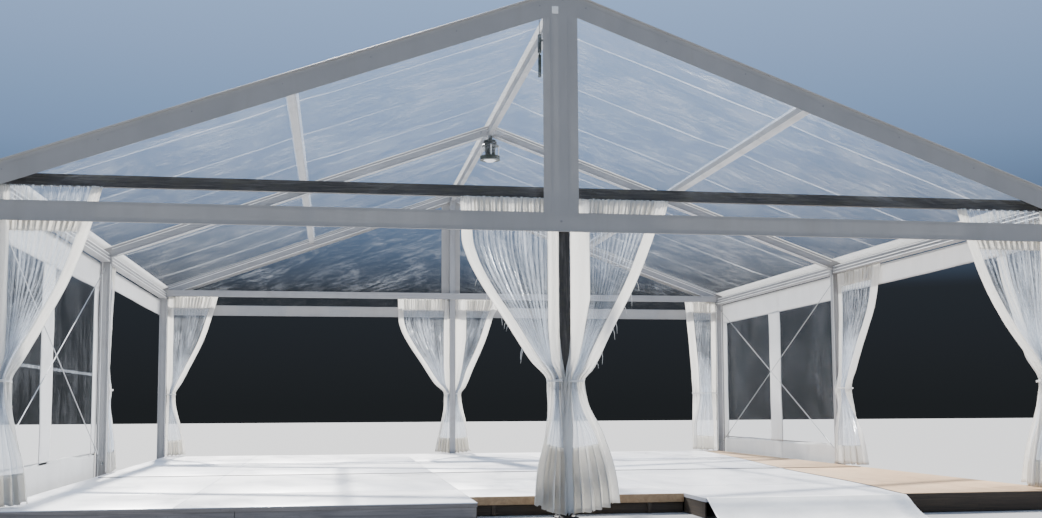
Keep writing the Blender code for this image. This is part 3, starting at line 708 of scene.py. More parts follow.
# curtains
def curtain(node, carrier, place, inner, outer, near, far, foot, head, hems, folds, width, seed,
            press=None, slack=1.0, free=False, rise=0.03, top_band=(0.0, 0.20)):
    """A gathered clear curtain with white header, hems and skirt.

    place maps (along the rail, depth, height) to the tent. inner and outer give the two edges along the rail at a
    height, near and far the least and most depth there. press keeps the cloth off a post in front of it.
    """
    columns, rows = 192, 90
    in_edge, out_edge = 0.12, 0.86
    tau = math.tau
    rng = random.Random(seed)
    jitter = [rng.uniform(-1, 1) for _ in range(8)]
    height = head - foot
    zs = [foot + height * (i / (rows - 1)) ** 0.92 for i in range(rows)]
    verts = []
    flat = []
    broad = 5 if width > 2 else 4
    for z in zs:
        a0 = inner(z)
        a1 = outer(z)
        span = a1 - a0
        d0 = near(z)
        d1 = far(z)
        centre = (d0 + d1) / 2
        room = (d1 - d0) / 2
        tied = math.exp(-((z - TIE) / 0.15) ** 2)
        loose = smooth(TIE - 0.02, foot + 0.35, z)
        vis_in = min(hems[0], 0.36 * span)
        vis_out = min(hems[1], 0.40 * span)
        middle = max(0.01, span - vis_in - vis_out)
        pitch = middle / folds
        length = (width - 0.24) / folds
        amp = min(0.24 * math.sqrt(max(0.0, length * length - pitch * pitch)), 0.92 * room) * slack
        gather = smooth(head - 0.32, head - 0.04, z)
        for c in range(columns):
            t = c / (columns - 1)
            warp = 0.012 * math.sin(tau * (2.3 * t + jitter[0])) + 0.007 * math.sin(tau * (5.1 * t + jitter[1]))
            if t < in_edge:
                share = t / in_edge
                a = a0 + vis_in * share
                d = centre + 0.30 * amp * math.sin(math.pi * 2.0 * share + jitter[2]) + 0.15 * amp
            elif t > out_edge:
                share = (t - out_edge) / 0.14
                a = a1 - vis_out * (1 - share)
                d = centre + 0.35 * amp * math.sin(math.pi * 1.6 * share + jitter[3]) + 0.25 * amp
            else:
                share = (t - in_edge) / 0.74
                phase = tau * folds * (share + warp) + jitter[4]
                swell = 0.72 + 0.28 * hum(share * 9.0, z * 0.7, seed + 3.0)
                edge = smooth(0.0, 0.06, share) * smooth(1.0, 0.94, share)
                a = a0 + vis_in + middle * share + 0.30 * pitch * math.sin(2 * phase)
                d = centre + edge * amp * swell * math.sin(phase)
            run = max(0.0, t - 0.10) / 0.90
            pipe = tau * broad * (run + 2.0 * warp * smooth(0.0, 0.2, run)) + 0.5 * math.pi
            hung = a0 + span * (t + 0.55 / (tau * broad) * math.sin(2 * pipe) * (1 - abs(2 * t - 1) ** 6))
            a += (hung - a) * loose
            d += (centre + 0.80 * room * math.sin(pipe) - d) * loose
            frill = 0.010 * math.sin(tau * 29 * t + 2.0 * math.sin(tau * 5 * t) + jitter[5]) * gather
            d += frill + 0.0035 * hum(t * 60, z * 7.0, seed) * (1 - 0.7 * gather)
            d += tied * smooth(0.16, 0.04, t) * (d1 - 0.012 - d)
            ruck = tied * 0.30 * room * math.sin(tau * 17 * t + jitter[6])
            d = min(max(d + ruck, d0 + 0.002), d1 - 0.002)
            if press:
                a, d = press(a, d, z)
            lean = 0.004 * hum(t * 20, z * 3.0, seed + 8)
            ripple = 0.022 * math.sin(tau * broad * t + jitter[7]) * smooth(foot + 0.30, foot, z)
            lift = rise * t * t * smooth(TIE, foot, z)
            top = 0.006 * math.sin(tau * 29 * t + jitter[5] + 1.3) * smooth(head - 0.05, head, z)
            verts.append(place(a + lean, d, z + max(0.0, ripple) + lift - max(0.0, top)))
            flat.append((t * width, z, seed * 0.37))
    faces = grid(rows, columns)
    film = from_lists(f"{node}_film", verts, faces, "curtain", "clear_pvc")
    mark_cloth(film, flat)
    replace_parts(film, node)

    skirt = foot + 0.27 if foot > 0.1 else foot + 0.60
    in_zone = int(0.115 * columns)
    out_zone = int(0.87 * columns)
    white = []
    for r in range(rows - 1):
        z = (zs[r] + zs[r + 1]) / 2
        for c in range(columns - 1):
            if head - top_band[1] < z < head - top_band[0] or z < skirt or c < in_zone or c >= out_zone:
                white.append(faces[r * (columns - 1) + c])
    used = sorted({i for f in white for i in f})
    index = {old: new for new, old in enumerate(used)}
    hem = from_lists(f"{node}_hem", [verts[i] for i in used], [tuple(index[i] for i in f) for f in white],
                     "cloth", "white_pvc")
    thicken(hem, 0.0028)

    band = Solids()
    a0, a1, d0, d1 = inner(TIE), outer(TIE), near(TIE), far(TIE)
    count = 28
    around = []
    for k in range(count):
        ca, cd = math.cos(tau * k / count), math.sin(tau * k / count)
        a = (a0 + a1) / 2 + (a1 - a0) / 2 * math.copysign(abs(ca) ** 0.8, ca) * 1.01
        d = (d0 + d1) / 2 + (d1 - d0) / 2 * math.copysign(abs(cd) ** 0.8, cd) * 0.98
        around.append(press(a, d, TIE) if press else (a, d))
    for lift in (-0.006, 0.005):
        band.tube([place(a, d, TIE + lift + 0.005 * math.sin(2 * k / count * tau + seed))
                   for k, (a, d) in enumerate(around)], 0.0048, 6, closed=True)
    tie = band.done(f"{node}_tie", "strap", "white_pvc")

    hooks = Solids()
    for k in range(folds):
        a = inner(head) + (outer(head) - inner(head)) * (0.06 + 0.88 * k / (folds - 1))
        mid = (near(head) + far(head)) / 2
        q = Vector(place(a, mid, head - 0.001))
        hooks.rod(place(a, mid, head - 0.028), q, 0.0045, 6)
        hooks.rod(q - Z * 0.009, q, 0.010, 8)
    with_pieces = [hem, tie, hooks.done(f"{node}_glides", "white_cap")]
    if free:
        threads = Solids()
        for _ in range(9):
            z = 2.45 - 1.05 * rng.random()
            a = outer(z) - 0.004
            d = (near(z) + far(z)) / 2
            length = rng.uniform(0.05, 0.16)
            swing = rng.uniform(-0.012, 0.014)
            threads.tube([place(a, d, z), place(a + 0.010 + swing * 0.4, d + 0.003, z - 0.4 * length),
                          place(a + 0.012 + swing, d, z - length)], lambda t: 0.0028 * (1 - 0.6 * t), 5)
        with_pieces.append(threads.done(f"{node}_threads", "strap"))


def gable_curtains(side, y0, out):
    """The four curtains of one gable doorway."""
    front = side == "front"
    foot = 0.034 if front else DECK_FOOT
    head = BAR_LOW - 0.001
    bar = f"{side}_eaves_bar"
    reach = {("front", "left"): (1.0, 0.31, 0.165, 0.86), ("front", "right"): (1.0, 0.47, 0.178, 0.98),
             ("rear", "left"): (1.02, 0.30, 0.150, 0.84), ("rear", "right"): (0.84, 0.35, 0.150, None)}
    for hand, s, seed in (("left", -1, 3), ("right", 1, 8)):
        left = hand == "left"
        seed += 0 if front else 20
        wide, flare, tied, corner = reach[side, hand]
        if left:
            lower = ((foot, flare), (0.30, 0.93 * flare), (0.70, 0.66 * flare), (1.05, tied))
            upper = ((1.42, 0.315), (1.80, 0.56), (2.13, 0.775), (2.36, 0.895), (2.54, 0.945), (RAIL, 0.96))
        else:
            lower = ((foot, flare), (0.20, 0.97 * flare), (0.72, 0.72 * flare), (1.05, 1.15 * tied))
            upper = ((1.35, 0.270), (1.67, 0.435), (2.18, 0.700), (2.54, 0.845), (2.62, 0.875), (2.78, 0.97),
                     (RAIL, 1.02))
        outer = curve_through((*lower, (TIE, tied), *((z, a * wide) for z, a in upper)))
        lap = 0.003 if left else -0.011
        inner = curve_through(((foot, lap), (1.10, lap), (TIE, lap), (1.50, 0.036), (1.75, 0.054), (RAIL, 0.054)))
        low = -0.018 if front else -0.055
        near = curve_through(((foot, low), (0.35, low), (0.75, -0.050), (TIE, -0.070), (1.5, -0.065), (RAIL, -0.055)))
        far = curve_through(((foot, 0.185), (0.4, 0.165), (0.75, 0.125), (TIE, 0.078), (1.5, 0.055), (1.9, 0.038),
                             (2.3, 0.030), (RAIL, 0.028)))

        def press(a, d, z):
            """Keep the cloth off the gable post, and the left hand's hem under the right hand's."""
            if a < 0.056:
                d = max(d, 0.021 + 0.2 * (0.056 - a))
            return a, d - (0.016 if left and a < 0.03 and d > 0.05 else 0.0)

        curtain(f"{side}_centre_{hand}_curtain", bar, lambda a, d, z: (s * a, y0 + out * d, z), inner, outer, near, far,
                foot, head, (0.10, 0.105) if left else (0.20, 0.12), 12, 2.3, seed, press, free=front,
                rise=0.10 if front else 0.03)

        inner = curve_through(((DECK_FOOT, 0.002), (RAIL, 0.002)))
        near = curve_through(((DECK_FOOT, -0.070), (TIE, -0.068), (RAIL, -0.060)))
        far = curve_through(((DECK_FOOT, 0.105), (0.72, 0.078), (TIE, 0.066), (1.5, 0.052), (1.9, 0.036),
                             (RAIL, 0.028)))
        if corner:
            outer = ((DECK_FOOT, 0.335), (0.45, 0.30), (0.72, 0.235), (1.05, 0.165), (TIE, 0.155), (1.42, 0.25),
                     (1.80, 0.47 * corner / 0.9), (2.18, 0.66 * corner / 0.9), (2.62, 0.90 * corner), (RAIL, corner))
            cut = ((0.10, 0.10), 11, 2.3, seed + (2 if left else 3))
        else:
            outer = ((DECK_FOOT, 0.46), (1.2, 0.47), (2.3, 0.54), (RAIL, 0.60))
            cut = ((0.10, 0.16), 9, 1.6, 31, None, 0.9)
        curtain(f"{side}_corner_{hand}_curtain", bar, lambda a, d, z: (s * (LEG_INNER - 0.002 - a), y0 + out * d, z),
                inner, curve_through(outer), near, far, DECK_FOOT, head, *cut,
                top_band=(0.13, 0.41) if front else (0.0, 0.20))


def side_curtains():
    """Curtains of the open side bays, under the eaves purlins."""
    face = HALF_SPAN + 0.048
    level = curve_through(((DECK_FOOT, 0.002), (RAIL, 0.002)))
    far = curve_through(((DECK_FOOT, 0.172), (0.75, 0.145), (TIE, 0.126), (1.5, 0.105), (2.0, 0.078), (2.3, 0.058),
                         (RAIL, 0.056)))
    for node, carrier, s, y0, along, start, wide, seed, low in (
            ("front_right", "front_right", 1, -5.0, 1, 0.162, 0.94, 41, (0.40, 0.35, 0.27, 0.19, 0.17)),
            ("middle_right", "front_right", 1, 0.0, -1, 0.037, 1.28, 42, (0.90, 0.80, 0.66, 0.48, 0.40)),
            ("middle_left", "rear_left", -1, 0.0, 1, 0.037, 0.70, 43, (0.40, 0.36, 0.32, 0.30, 0.30))):
        outer = curve_through((*zip((DECK_FOOT, 0.45, 0.72, 1.05, TIE), low), (1.50, 0.42 * wide), (1.80, 0.57 * wide),
                               (2.36, 0.86 * wide), (2.6, 0.93 * wide), (RAIL, wide)))
        curtain(f"{node}_side_curtain", f"{carrier}_eaves_purlin",
                lambda a, d, z: (s * (face - d), y0 + along * (start + a), z), level, outer, level, far, DECK_FOOT,
                2.882, (0.12, 0.21), *((10, 1.8) if wide > 0.8 else (8, 1.4)), seed)


# floor
def deck_boards():
    """Floor boards with bevelled edges, joint strips and screw heads, in place of the plain decks."""
    front, rear, ply, infill, lap, strips, heads = (Solids() for _ in range(7))
    gap = 0.00175
    wide_gap = 0.0065
    notch = -4.72
    split = 3.70
    middle = -0.9
    rows = (-5.35, -3.78, middle, 2.02, 4.95)
    cuts = (-4.92, -3.39, -0.85, 1.20, split)
    for x0, x1 in zip(cuts, cuts[1:]):
        for y0, y1 in zip(rows, rows[1:]):
            boards = front if y1 <= middle else rear
            low = (notch if (x0 == -0.85 and y0 == rows[0]) else y0) + (wide_gap if y0 in rows[1:-1] else gap)
            high = y1 - (wide_gap if y1 in rows[1:-1] else gap)
            if x1 == split and y1 <= middle:
                ys = steps(low, high, 0.4)
                edge = [(min(split, PLY_LINE(y)) - 0.004, y) for y in ys]
                boards.prism([(x0 + gap, ys[0]), *edge, (x0 + gap, ys[-1])], BOARD_LOW, DECK, 2)
                ys = steps(max(ys[0], -5.198), min(ys[-1], -1.2), 0.4)
                edge = [(PLY_LINE(y) + 0.004, y) for y in ys]
                infill.prism([*edge, (3.703, ys[-1]), (3.703, ys[0])], BOARD_LOW, DECK - 0.0004, 2)
            else:
                right = x1 - (wide_gap if x1 == split else gap)
                boards.block((x0 + gap, low, BOARD_LOW), (right, high, DECK), 0.0025)
    for y0, y1 in zip((-5.20, *rows[1:]), rows[1:]):
        ply.block((3.7065, y0 + 0.005, BOARD_LOW), (4.92 - 0.001, y1 - 0.005, DECK), 0.0025)
    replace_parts(front.done("front_floor_boards", "floor", "white_floor"), "front_floor_deck")
    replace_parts(rear.done("rear_floor_boards", "floor", "white_floor"), "rear_floor_deck")
    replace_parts(ply.done("ply_floor_boards", "ply", "plywood"), "ply_edge_deck")
    infill.done("ply_floor_infill", "ply", "plywood")
    ys = steps(-1.12, 4.93, 0.4)
    lap.prism([(3.694, ys[0]), *[(PLY_LINE(y), y) for y in ys], (3.694, ys[-1])], DECK + 0.0006, DECK + 0.0030, 2)
    lap.done("floor_sheet_lap", "floor", "white_floor")

    line = [(PLY_LINE(y) + 0.006, y, DECK + 0.0032) for y in steps(-5.19, 4.93, 0.4)]
    strips.sweep(line, X * 0.008, Z * 0.0014)
    # raised cover strip across the floor at this joint: an aluminium cover painted near-black as its shade in backlight
    strips.block((-4.86, -0.911, DECK + 0.0004), (4.86, -0.889, DECK + 0.0075), 0.002)
    bed = BOARD_LOW + 0.02
    for y in rows[1:-1]:
        strips.block((-4.915, y - 0.012, bed), (4.91, y + 0.012, DECK - 0.0035))
    for x in cuts[1:-1]:
        strips.block((x - 0.012, notch + 0.02 if x in (-0.85, 1.2) else -5.33, bed), (x + 0.012, 4.94, DECK - 0.0035))
    strips.block((3.693, -5.19, bed), (3.711, 4.94, DECK - 0.003))
    strips.done("floor_joint_strips", "joint")
    for y in rows:
        for x in steps(-4.7, 4.8, 0.95):
            for at in (y - 0.05, y + 0.05):
                in_notch = -0.9 < x < 1.25 and at < -4.75
                off_ply = x > split and at < -5.1
                if -5.30 < at < 4.92 and not in_notch and abs(x - split) > 0.05 and not off_ply:
                    heads.stack((x, at), DECK, 1, (-0.001, 0.0009, 0.006, 10))
    heads.done("floor_screws", "bolt")


def floor_edges():
    """Fascia boards, the notch's edge board, joists and feet under the deck; the notch's face and the plywood's front
    fascia are painted near-black as shade.
    """
    low = BOARD_LOW
    fascia, board, dark, right, joists, feet = (Solids() for _ in range(6))
    for x0, x1 in ((-4.915, -2.896), (-2.892, -0.86)):
        fascia.block((x0, -5.347, 0.012), (x1, -5.327, low - 0.002), 0.002)
    fascia.block((-4.918, -5.352, low - 0.004), (-0.852, -5.3505, DECK - 0.008))
    fascia.done("left_front_fascia", "fascia", "timber")
    board.block((-0.845, -4.738, low - 0.045), (1.195, -4.7205, DECK - 0.0015), 0.002)
    board.done("notch_edge_board", "ply", "plywood")
    # the notch's face, supports and sides: near-black, a painted shadow of the void under the deck
    dark.block((-0.84, -4.715, 0.004), (1.19, -4.690, low - 0.048), 0.001)
    for x in (-0.62, 0.86):
        dark.block((x - 0.02, -4.74, 0.002), (x + 0.02, -4.716, low - 0.046), 0.001)
    for x0, x1 in ((-0.865, -0.853), (1.203, 1.215)):
        dark.block((x0, -5.33, 0.004), (x1, -4.72, low))
    dark.done("notch_shade_face", "ply_edge", "timber")
    # the plywood's front fascia, painted near-black as shade
    right.block((3.166, -5.216, 0.006), (4.915, -5.1985, DECK - 0.002), 0.002)
    right.block((3.142, -5.33, 0.006), (3.154, -5.20, low))
    right.done("ply_front_fascia", "ply_edge", "timber")
    for y in steps(-4.45, 4.75, 0.61):
        for a, b in ((-4.88, -3.96), (-3.84, -0.06), (0.06, 3.69), (3.81, 4.90)):
            joists.block((a, y - 0.022, low - 0.075), (b, y + 0.022, low - 0.001), 0.001)
    for x in (-4.86, 4.86):
        joists.block((x - 0.02, -5.10, low - 0.10), (x + 0.02, 4.93, low - 0.0008), 0.001)
    joists.done("floor_joists", "timber", "timber")
    for y in steps(-4.9, 4.7, 1.2):
        for x in (-4.86, -2.2, 2.2, 4.86):
            feet.block((x - 0.045, y - 0.045, 0.0), (x + 0.045, y + 0.045, 0.012), 0.002)
            feet.stack((x, y), 0, 1, (0.01, low - 0.07, 0.016, 12), (0.03, 0.045, 0.028, 6))
    feet.done("floor_feet", "steel")


def apron():
    """White floor sheet draped over the front edge down to the ground."""
    left = 1.212
    right = 3.13
    cut = 2.206  # width of the cloth before the fold
    us = steps(left, left + cut, 0.03)
    count = 44
    path = ((-5.30, DECK + 0.0022), (-5.345, DECK + 0.0022), (-5.365, DECK - 0.006), (-5.42, 0.148), (-5.50, 0.100),
            (-5.60, 0.050), (-5.70, 0.016), (-5.755, 0.006), (-5.795, 0.0045))
    lengths = [0.0]
    for a, b in zip(path, path[1:]):
        lengths.append(lengths[-1] + math.dist(a, b))
    read_y, read_z = (curve_through([(at, p[k]) for at, p in zip(lengths, path)]) for k in (0, 1))
    verts = []
    for j in range(count):
        t = lengths[-1] * j / (count - 1)
        y = read_y(t)
        z = read_z(t)
        loose = smooth(0.10, 0.30, t)
        for x in us:
            wave = hum(x * 2.3, t * 2.0, 5) * 0.020 + hum(x * 7.0, t * 3.0, 9) * 0.006
            across = left + (x - left) * (right + 0.005 * loose - left) / cut
            verts.append((across + 0.010 * loose * hum(x, t * 4, 3), max(-5.80, y + abs(wave) * loose * 0.8),
                          max(0.003, z + max(0.0, wave) * loose * 0.7)))
    sheet = thicken(from_lists("front_apron", verts, grid(count, len(us)), "apron", "white_pvc"), 0.002)
    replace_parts(sheet, "front_apron_sheet")


# metal fittings
def corner_plates():
    """Knee and ridge joints: steel plates with bolts, sleeve collars and purlin cleats."""
    for name, y, faces in FRAMES:
        plates, light, bolts = (Solids() for _ in range(3))
        for f in faces:
            outer = y + f * (HALF_WIDTH + 0.0054)
            depths = sorted((y + f * (HALF_WIDTH + 0.0004), outer))
            light.prism([(x, slope_z(x, d)) for x, d in (
                (-0.17, 0.03), (0.0, 0.03), (0.17, 0.03), (0.17, -0.03), (0.0, -0.03), (-0.17, -0.03))], *depths)
            for x in (-0.13, 0.13):
                for shift in (-0.014, 0.014):
                    bolts.stack((x, slope_z(x, shift)), outer, f, (-0.001, 0.0025, 0.013, 16),
                                (0.002, 0.010, 0.0095, 6), axis=1)
            for s in SIDES:
                # knee gusset plates: dark steel, whose dark tone also stands in for the shade at the knees
                plates.prism([(s * 4.95, 2.905), (s * 5.05, 2.905), (s * 5.05, slope_z(5.05, -0.005)),
                              (s * 4.95, slope_z(4.95, -0.005))], *depths)
                for x in (5.03, 4.97):
                    bolts.stack((s * x, 2.93), outer, f, (-0.001, 0.0025, 0.011, 16), (0.002, 0.008, 0.008, 6), axis=1)
                x = s * MID_SLOPE
                z = slope_z(x, 0.034)
                light.block((x - 0.034, y + f * 0.0355, z - 0.030), (x + 0.034, y + f * 0.1055, z - 0.026), 0.001,
                            Matrix.Rotation(s * PITCH, 4, "Y"))
        for s in SIDES:
            inner = s * (LEG_INNER - 0.0004)
            # plate on the leg's inner face at the knee: dark steel, its dark tone also standing in for the shade in the
            # knee's inner corner
            plates.block((inner, y - 0.034, 2.83), (inner - s * 0.006, y + 0.034, 2.935), 0.001)
        plates.done(f"{name}_joint_plates", "bracket")
        light.done(f"{name}_ridge_plates", "alu_x")
        bolts.done(f"{name}_joint_bolts", "bolt")


def keder_inserts():
    """White edge cords in the grooves of legs, rafters and eaves purlins."""
    cords = Solids()
    groove = HALF_WIDTH - 0.0028
    face = HALF_WIDTH + 0.0012
    for _, y, faces in FRAMES:
        for f in faces:
            for s in SIDES:
                cords.tube([(s * x, y + f * groove, slope_z(x, 0.037)) for x in steps(0.03, 4.93, 0.8)], 0.0055, 8)
                cords.tube([(s * x, y + f * face, slope_z(x, -0.058)) for x in steps(0.10, 4.86, 0.8)], 0.0045, 6)
                cords.tube([(s * 4.940, y + f * face, z) for z in (0.20, 1.5, 2.86)], 0.0035, 6)
    for y, s, f in ((0.0, -1, -1), (-5.0, -1, 1), (0.0, 1, 1), (5.0, 1, -1)):
        cords.tube([(s * 5.037, y + f * groove, z) for z in steps(0.05, 2.90, 0.7)], 0.0055, 8)
    for start, end in ((-4.96, -0.04), (0.04, 4.96)):
        for s in SIDES:
            for z in (2.897, 2.938, 2.982):
                cords.tube([(s * 4.9478, start, z), (s * 4.9478, end, z)], 0.0042, 6)
    cords.done("keder_cords", "cord", "white_pvc")


def leg_feet():
    """Ground anchors: stakes, bolts and welded fins on every base plate."""
    fins, pins = Solids(), Solids()
    for _, y, _ in FRAMES:
        for x in (-5.0, 5.0):
            for f in SIDES:
                outline = ((-0.05, 0.0125), (0.05, 0.0125), (0.05, 0.03), (0.012, 0.11), (-0.012, 0.11), (-0.05, 0.03))
                fins.prism([(x + dx, z) for dx, z in outline], *sorted((y + f * 0.0354, y + f * 0.0404)))
                for a in SIDES:
                    pins.stack((x + a * 0.098, y + f * 0.080), 0, 1, (0.0125, 0.016, 0.021, 20),
                               (0.0155, 0.030, 0.013, 6), (0.028, 0.038, 0.0065, 10))
    for y in (-5.0, 5.0):
        for a in SIDES:
            for b in SIDES:
                pins.stack((a * 0.075, y + b * 0.075), 0, 1, (0.0125, 0.016, 0.014, 16), (0.0155, 0.025, 0.009, 6))
    fins.done("base_fins", "steel")
    pins.done("base_bolts", "bolt")


def wire_ends():
    """Shackles, thimbles and turnbuckles on the cross wires."""
    ends = Solids()
    low, high = 0.31, 2.785
    reach = HALF_WIDTH + 0.0125
    for s, start, end in ((-1, -5.0, 0.0), (1, 0.0, 5.0)):
        for za, zb, shift in ((low, high, 1), (high, low, -1)):
            x = s * (5.0 + shift * 0.010)
            a = Vector((x, start + reach, za))
            b = Vector((x, end - reach, zb))
            along = (b - a).normalized()
            low_end, inward = (a, along) if za < zb else (b, -along)
            p = low_end + inward * 0.28
            ends.tube([p + inward * d for d in (0.04, 0.06, 0.20, 0.22)], 0.0115, 10)
            ends.tube([p, p + inward * 0.30], 0.0068, 8)
            for point, way in ((a, along), (b, -along)):
                q = point + way * 0.045
                ends.tube([q, q + way * 0.05], 0.0085, 8)
                up = way.cross(X).normalized()
                centre = point + way * 0.020
                ends.tube([centre + way * (0.024 * math.cos(t)) + up * (0.013 * math.sin(t))
                           for t in (k * math.tau / 16 for k in range(16))], 0.004, 6, closed=True)
    ends.done("wire_fittings", "steel")


def bar_fittings():
    """Cleats that hold the eaves bars, and screws along them."""
    cleats, screws = Solids(), Solids()
    for y0, out in ((-5.0, -1), (5.0, 1)):
        for s in SIDES:
            for low, high in ((BAR_LOW - 0.006, BAR_LOW - 0.0006), (BAR_TOP + 0.0006, BAR_TOP + 0.006)):
                cleats.block((s * 4.9345, y0 - out * 0.0356, low), (s * 4.86, y0 - out * 0.090, high), 0.001)
        for x in steps(-4.6, 4.6, 0.92):
            screws.stack((x, 2.98), y0, -out, (0.0858, 0.0918, 0.008, 8), axis=1)
    cleats.done("bar_cleats", "bracket")
    screws.done("bar_screws", "bolt")


def lamp_details():
    """Cable stub, side block, canopy bolts, finned heat sink, bezel and domed diffuser of the pendant lamp."""
    top = slope_z(0, -HALF_HEIGHT)
    axle = (0, 0)
    parts, block, lens, cable = (Solids() for _ in range(4))
    parts.stack(axle, top, -1, (0.155, 0.262, 0.044, 20, 0.050))
    for p in ring(0.058, 16, top):
        parts.block((p.x - 0.0035, p.y - 0.0035, top - 0.255), (p.x + 0.0035, p.y + 0.0035, top - 0.150))
    parts.stack(axle, top, 1, (-0.175, -0.169, 0.062, 24), (-0.205, -0.199, 0.064, 24), (-0.235, -0.229, 0.062, 24),
                (-0.300, -0.270, 0.098, 28, 0.060))
    parts.tube(ring(0.136, 40, top - 0.338), 0.0045, 8, closed=True)
    parts.tube(ring(0.090, 40, top - 0.3405), 0.004, 8, closed=True)
    for p in ring(0.085, 8, top)[1::2]:
        parts.stack(p.xy, top, 1, (-0.150, -0.136, 0.009, 6))
    parts.stack(axle, top, 1, (-0.098, -0.066, 0.098, 24, 0.082))
    parts.block((-0.016, -0.05, top - 0.070), (0.016, 0.05, top - 0.020), 0.002)
    for p in ((-0.052, -0.030), (0.052, -0.030), (0.0, 0.055)):
        parts.stack(p, top, 1, (-0.272, -0.095, 0.020, 14))
    parts.done("lamp_works", "black", "lamp_black")
    block.block((-0.095, -0.025, top - 0.215), (-0.065, 0.025, top - 0.158), 0.004)
    for p in ring(0.119, 4, top):
        block.stack(p.xy, top, 1, (-0.285, -0.150, 0.0075, 10))
    block.done("lamp_light_parts", "white_cap")
    lens.stack(axle, top, 1, (-0.3425, -0.3405, 0.087, 32))
    lens.done("lamp_lens", "opal", "opal")
    cable.tube([(x, y, top + z) for x, y, z in (
        (0.012, 0.018, -0.09), (0.024, 0.036, -0.06), (0.030, 0.040, -0.015), (0.020, 0.042, 0.02), (0.0, 0.046, 0.045),
        (-0.004, 0.05, 0.052))], 0.004, 8)
    cable.done("lamp_lead", "black", "lamp_black")


def strap_details():
    """Buckles, bars and hook of the strap by the front gable post, and the black box that hangs beside it."""
    x = -0.125
    high = slope_z(0.133, -HALF_HEIGHT) - 0.0003
    parts = Solids()
    for half_x, half_y, low, top, bevel in (
            (0.0275, 0.0275, 0.405, 0.385, 0.003), (0.0275, 0.0275, 0.225, 0.205, 0.003),
            (0.013, 0.013, 0.12, 0.09, 0.003), (0.026, 0.0265, 0.36, 0.35, 0.001),
            (0.026, 0.0265, 0.32, 0.31, 0.001), (0.026, 0.0265, 0.28, 0.27, 0.001)):
        parts.block((x - half_x, -5.0 - half_y, high - low), (x + half_x, -5.0 + half_y, high - top), bevel)
    tail = slope_z(0.216, -HALF_HEIGHT) - 0.0006
    parts.block((-0.218, -4.994, 4.47), (-0.214, -4.974, tail))
    parts.block((-0.231, -5.002, 4.30), (-0.199, -4.966, 4.475), 0.003)
    parts.block((-0.229, -5.000, 4.07), (-0.201, -4.968, 4.28), 0.003)
    parts.block((-0.221, -4.992, 4.27), (-0.209, -4.976, 4.31), 0.001)
    parts.block((-0.199, -4.990, 4.41), (-0.155, -4.984, 4.43), 0.001)
    parts.done("ridge_strap_details", "black", "lamp_black")


def purlin_details():
    """End cleats of the ridge and eaves purlins and caps over the ridge bolts."""
    cleats, bolts = Solids(), Solids()
    eaves = 2.888
    for _, frame_y, faces in FRAMES:
        for f in faces:
            y0, y1 = sorted((frame_y + f * 0.0356, frame_y + f * 0.1106))
            mid = (y0 + y1) / 2
            for s in SIDES:
                cleats.block((s * 0.0395, y0, 4.700), (s * 0.0355, y1, 4.790), 0.0008)
                bolts.stack((mid, 4.745), 0, s, (0.039, 0.048, 0.009, 6), axis=0)
            for s in SIDES:
                cleats.block((s * 4.9495, y0, eaves), (s * 4.9445, y1, eaves + 0.1), 0.0008)
                for dz in (0.025, 0.075):
                    bolts.stack((mid, eaves + dz), 0, s, (4.9445, 4.9375, 0.009, 6), axis=0)
    cleats.done("purlin_cleats", "alu_y")
    bolts.done("purlin_bolts", "bolt")


# the front eaves bar and front gable post get near-black painted shade; the rear bar and post stay aluminium
FINISHES = (("front_eaves_bar", "dark_bar"), ("front_gable_post", "dark_post"), ("left_rafter", "alu_left"),
            ("right_rafter", "alu_right"), ("leg", "alu_z"), ("post", "alu_z"), ("purlin", "alu_y"), ("bar", "alu_x"),
            ("bearer", "timber"), ("wire", "wire"), ("lamp_housing", "black"), ("ridge_strap", "black"),
            ("lamp_diffuser", "opal"))


def dress_frame():
    """Give each carried-over node its own finish, by the first ending that fits its name."""
    for name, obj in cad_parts.items():
        look = next((look for ending, look in FINISHES if name.endswith(ending)), None)
        if look:
            for slot in obj.material_slots:
                slot.material = M[look]


def camera():
    """The photograph's viewpoint, solved from the portal frames."""
    width, middle_row = 1042.0, 259.0
    focal, centre_row = 1126.4, 316.7
    yaw, pitch, roll = (math.radians(a) for a in (9.391, 4.553, -0.26))
    ahead = Vector((math.sin(yaw) * math.cos(pitch), math.cos(yaw) * math.cos(pitch), math.sin(pitch)))
    right = Vector((math.cos(yaw), -math.sin(yaw), 0.0))
    up = right.cross(ahead)
    right, up = (right * math.cos(roll) + up * math.sin(roll),
                 up * math.cos(roll) - right * math.sin(roll))
    cam = bpy.data.objects.new("camera", bpy.data.cameras.new("camera"))
    cam.matrix_world = Matrix.Translation((-2.078, -15.118, 1.007)) @ Matrix(
        (right, up, -ahead)).transposed().to_4x4()
    cam.data.sensor_width = 36.0
    cam.data.lens = 36.0 * focal / width
    cam.data.shift_y = (centre_row - middle_row) / width
    cam.data.clip_end = 200.0
    bpy.context.scene.collection.objects.link(cam)
    bpy.context.scene.camera = cam


def sun(name, energy, spread, colour, towards):
    """A far light; spread is its disc's width in degrees."""
    light = bpy.data.objects.new(name, bpy.data.lights.new(name, "SUN"))
    light.data.energy = energy
    light.data.angle = math.radians(spread)
    light.data.color = colour
    light.rotation_euler = Vector(towards).to_track_quat("-Z", "Y").to_euler()
    bpy.context.scene.collection.objects.link(light)


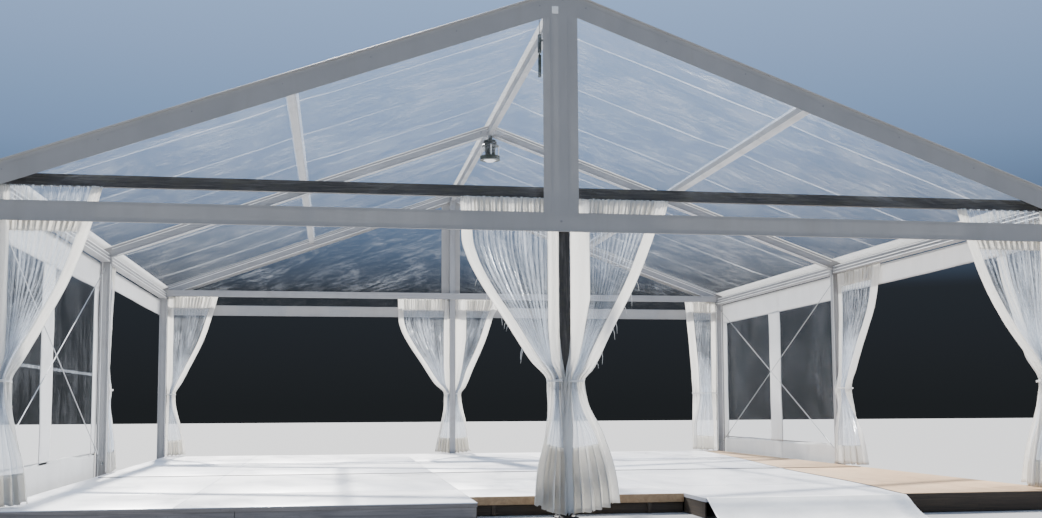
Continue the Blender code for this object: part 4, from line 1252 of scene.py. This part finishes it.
def studio():
    """Grey ground, a dark horizon under a blue sky, and the sun behind the tent as in the photograph."""
    bm = bmesh.new()
    bmesh.ops.create_grid(bm, x_segments=1, y_segments=1, size=60.0, matrix=Matrix.Translation((0, 0, -0.001)))
    mesh = bpy.data.meshes.new("stage_floor")
    bm.to_mesh(mesh)
    bm.free()
    obj = bpy.data.objects.new("stage_floor", mesh)
    bpy.context.scene.collection.objects.link(obj)
    mesh.materials.append(Look("stage_floor", (0.30, 0.30, 0.30), 0.9).material)
    world = bpy.data.worlds.new("studio")
    bpy.context.scene.world = world
    world.use_nodes = True
    tree = world.node_tree
    coords = tree.nodes.new("ShaderNodeTexCoord")
    split = tree.nodes.new("ShaderNodeSeparateXYZ")
    fade = tree.nodes.new("ShaderNodeValToRGB")
    back = tree.nodes["Background"]
    fill_ramp(fade, ((0.0, (0.014, 0.016, 0.018)), (0.10, (0.020, 0.024, 0.030)), (0.22, (0.17, 0.27, 0.46)),
                     (0.42, (0.36, 0.52, 0.82)), (1.0, (0.58, 0.69, 0.88))))
    tree.links.new(coords.outputs["Generated"], split.inputs["Vector"])
    tree.links.new(split.outputs["Z"], fade.inputs["Fac"])
    tree.links.new(fade.outputs["Color"], back.inputs["Color"])
    back.inputs["Strength"].default_value = 1.2
    sun("key", 13.0, 2, (1.0, 0.96, 0.90), (0.12, -1.0, -0.85))
    sun("side", 6.0, 12, (1.0, 0.98, 0.95), (-1.0, -0.35, -0.45))


camera()
studio()
dress_frame()
gable_sheet("front", -5.0, -1)
gable_sheet("rear", 5.0, 1)
roof_sheet("front", -5.0, 0.0)
roof_sheet("rear", 0.0, 5.0)
side_wall("front", "left", -1, -5.0, 0.0, -2.55, (0.40, 0.27), 1.43)
side_wall("rear", "right", 1, 0.0, 5.0, 2.52, (0.20, 0.24))
valance("rear", "left", -1, 0.0, 5.0)
valance("front", "right", 1, -5.0, 0.0)
gable_curtains("front", -5.0, -1)
gable_curtains("rear", 5.0, 1)
for build in (side_curtains, deck_boards, floor_edges, apron, corner_plates, keder_inserts, leg_feet, wire_ends,
              bar_fittings, lamp_details, strap_details, purlin_details):
    build()
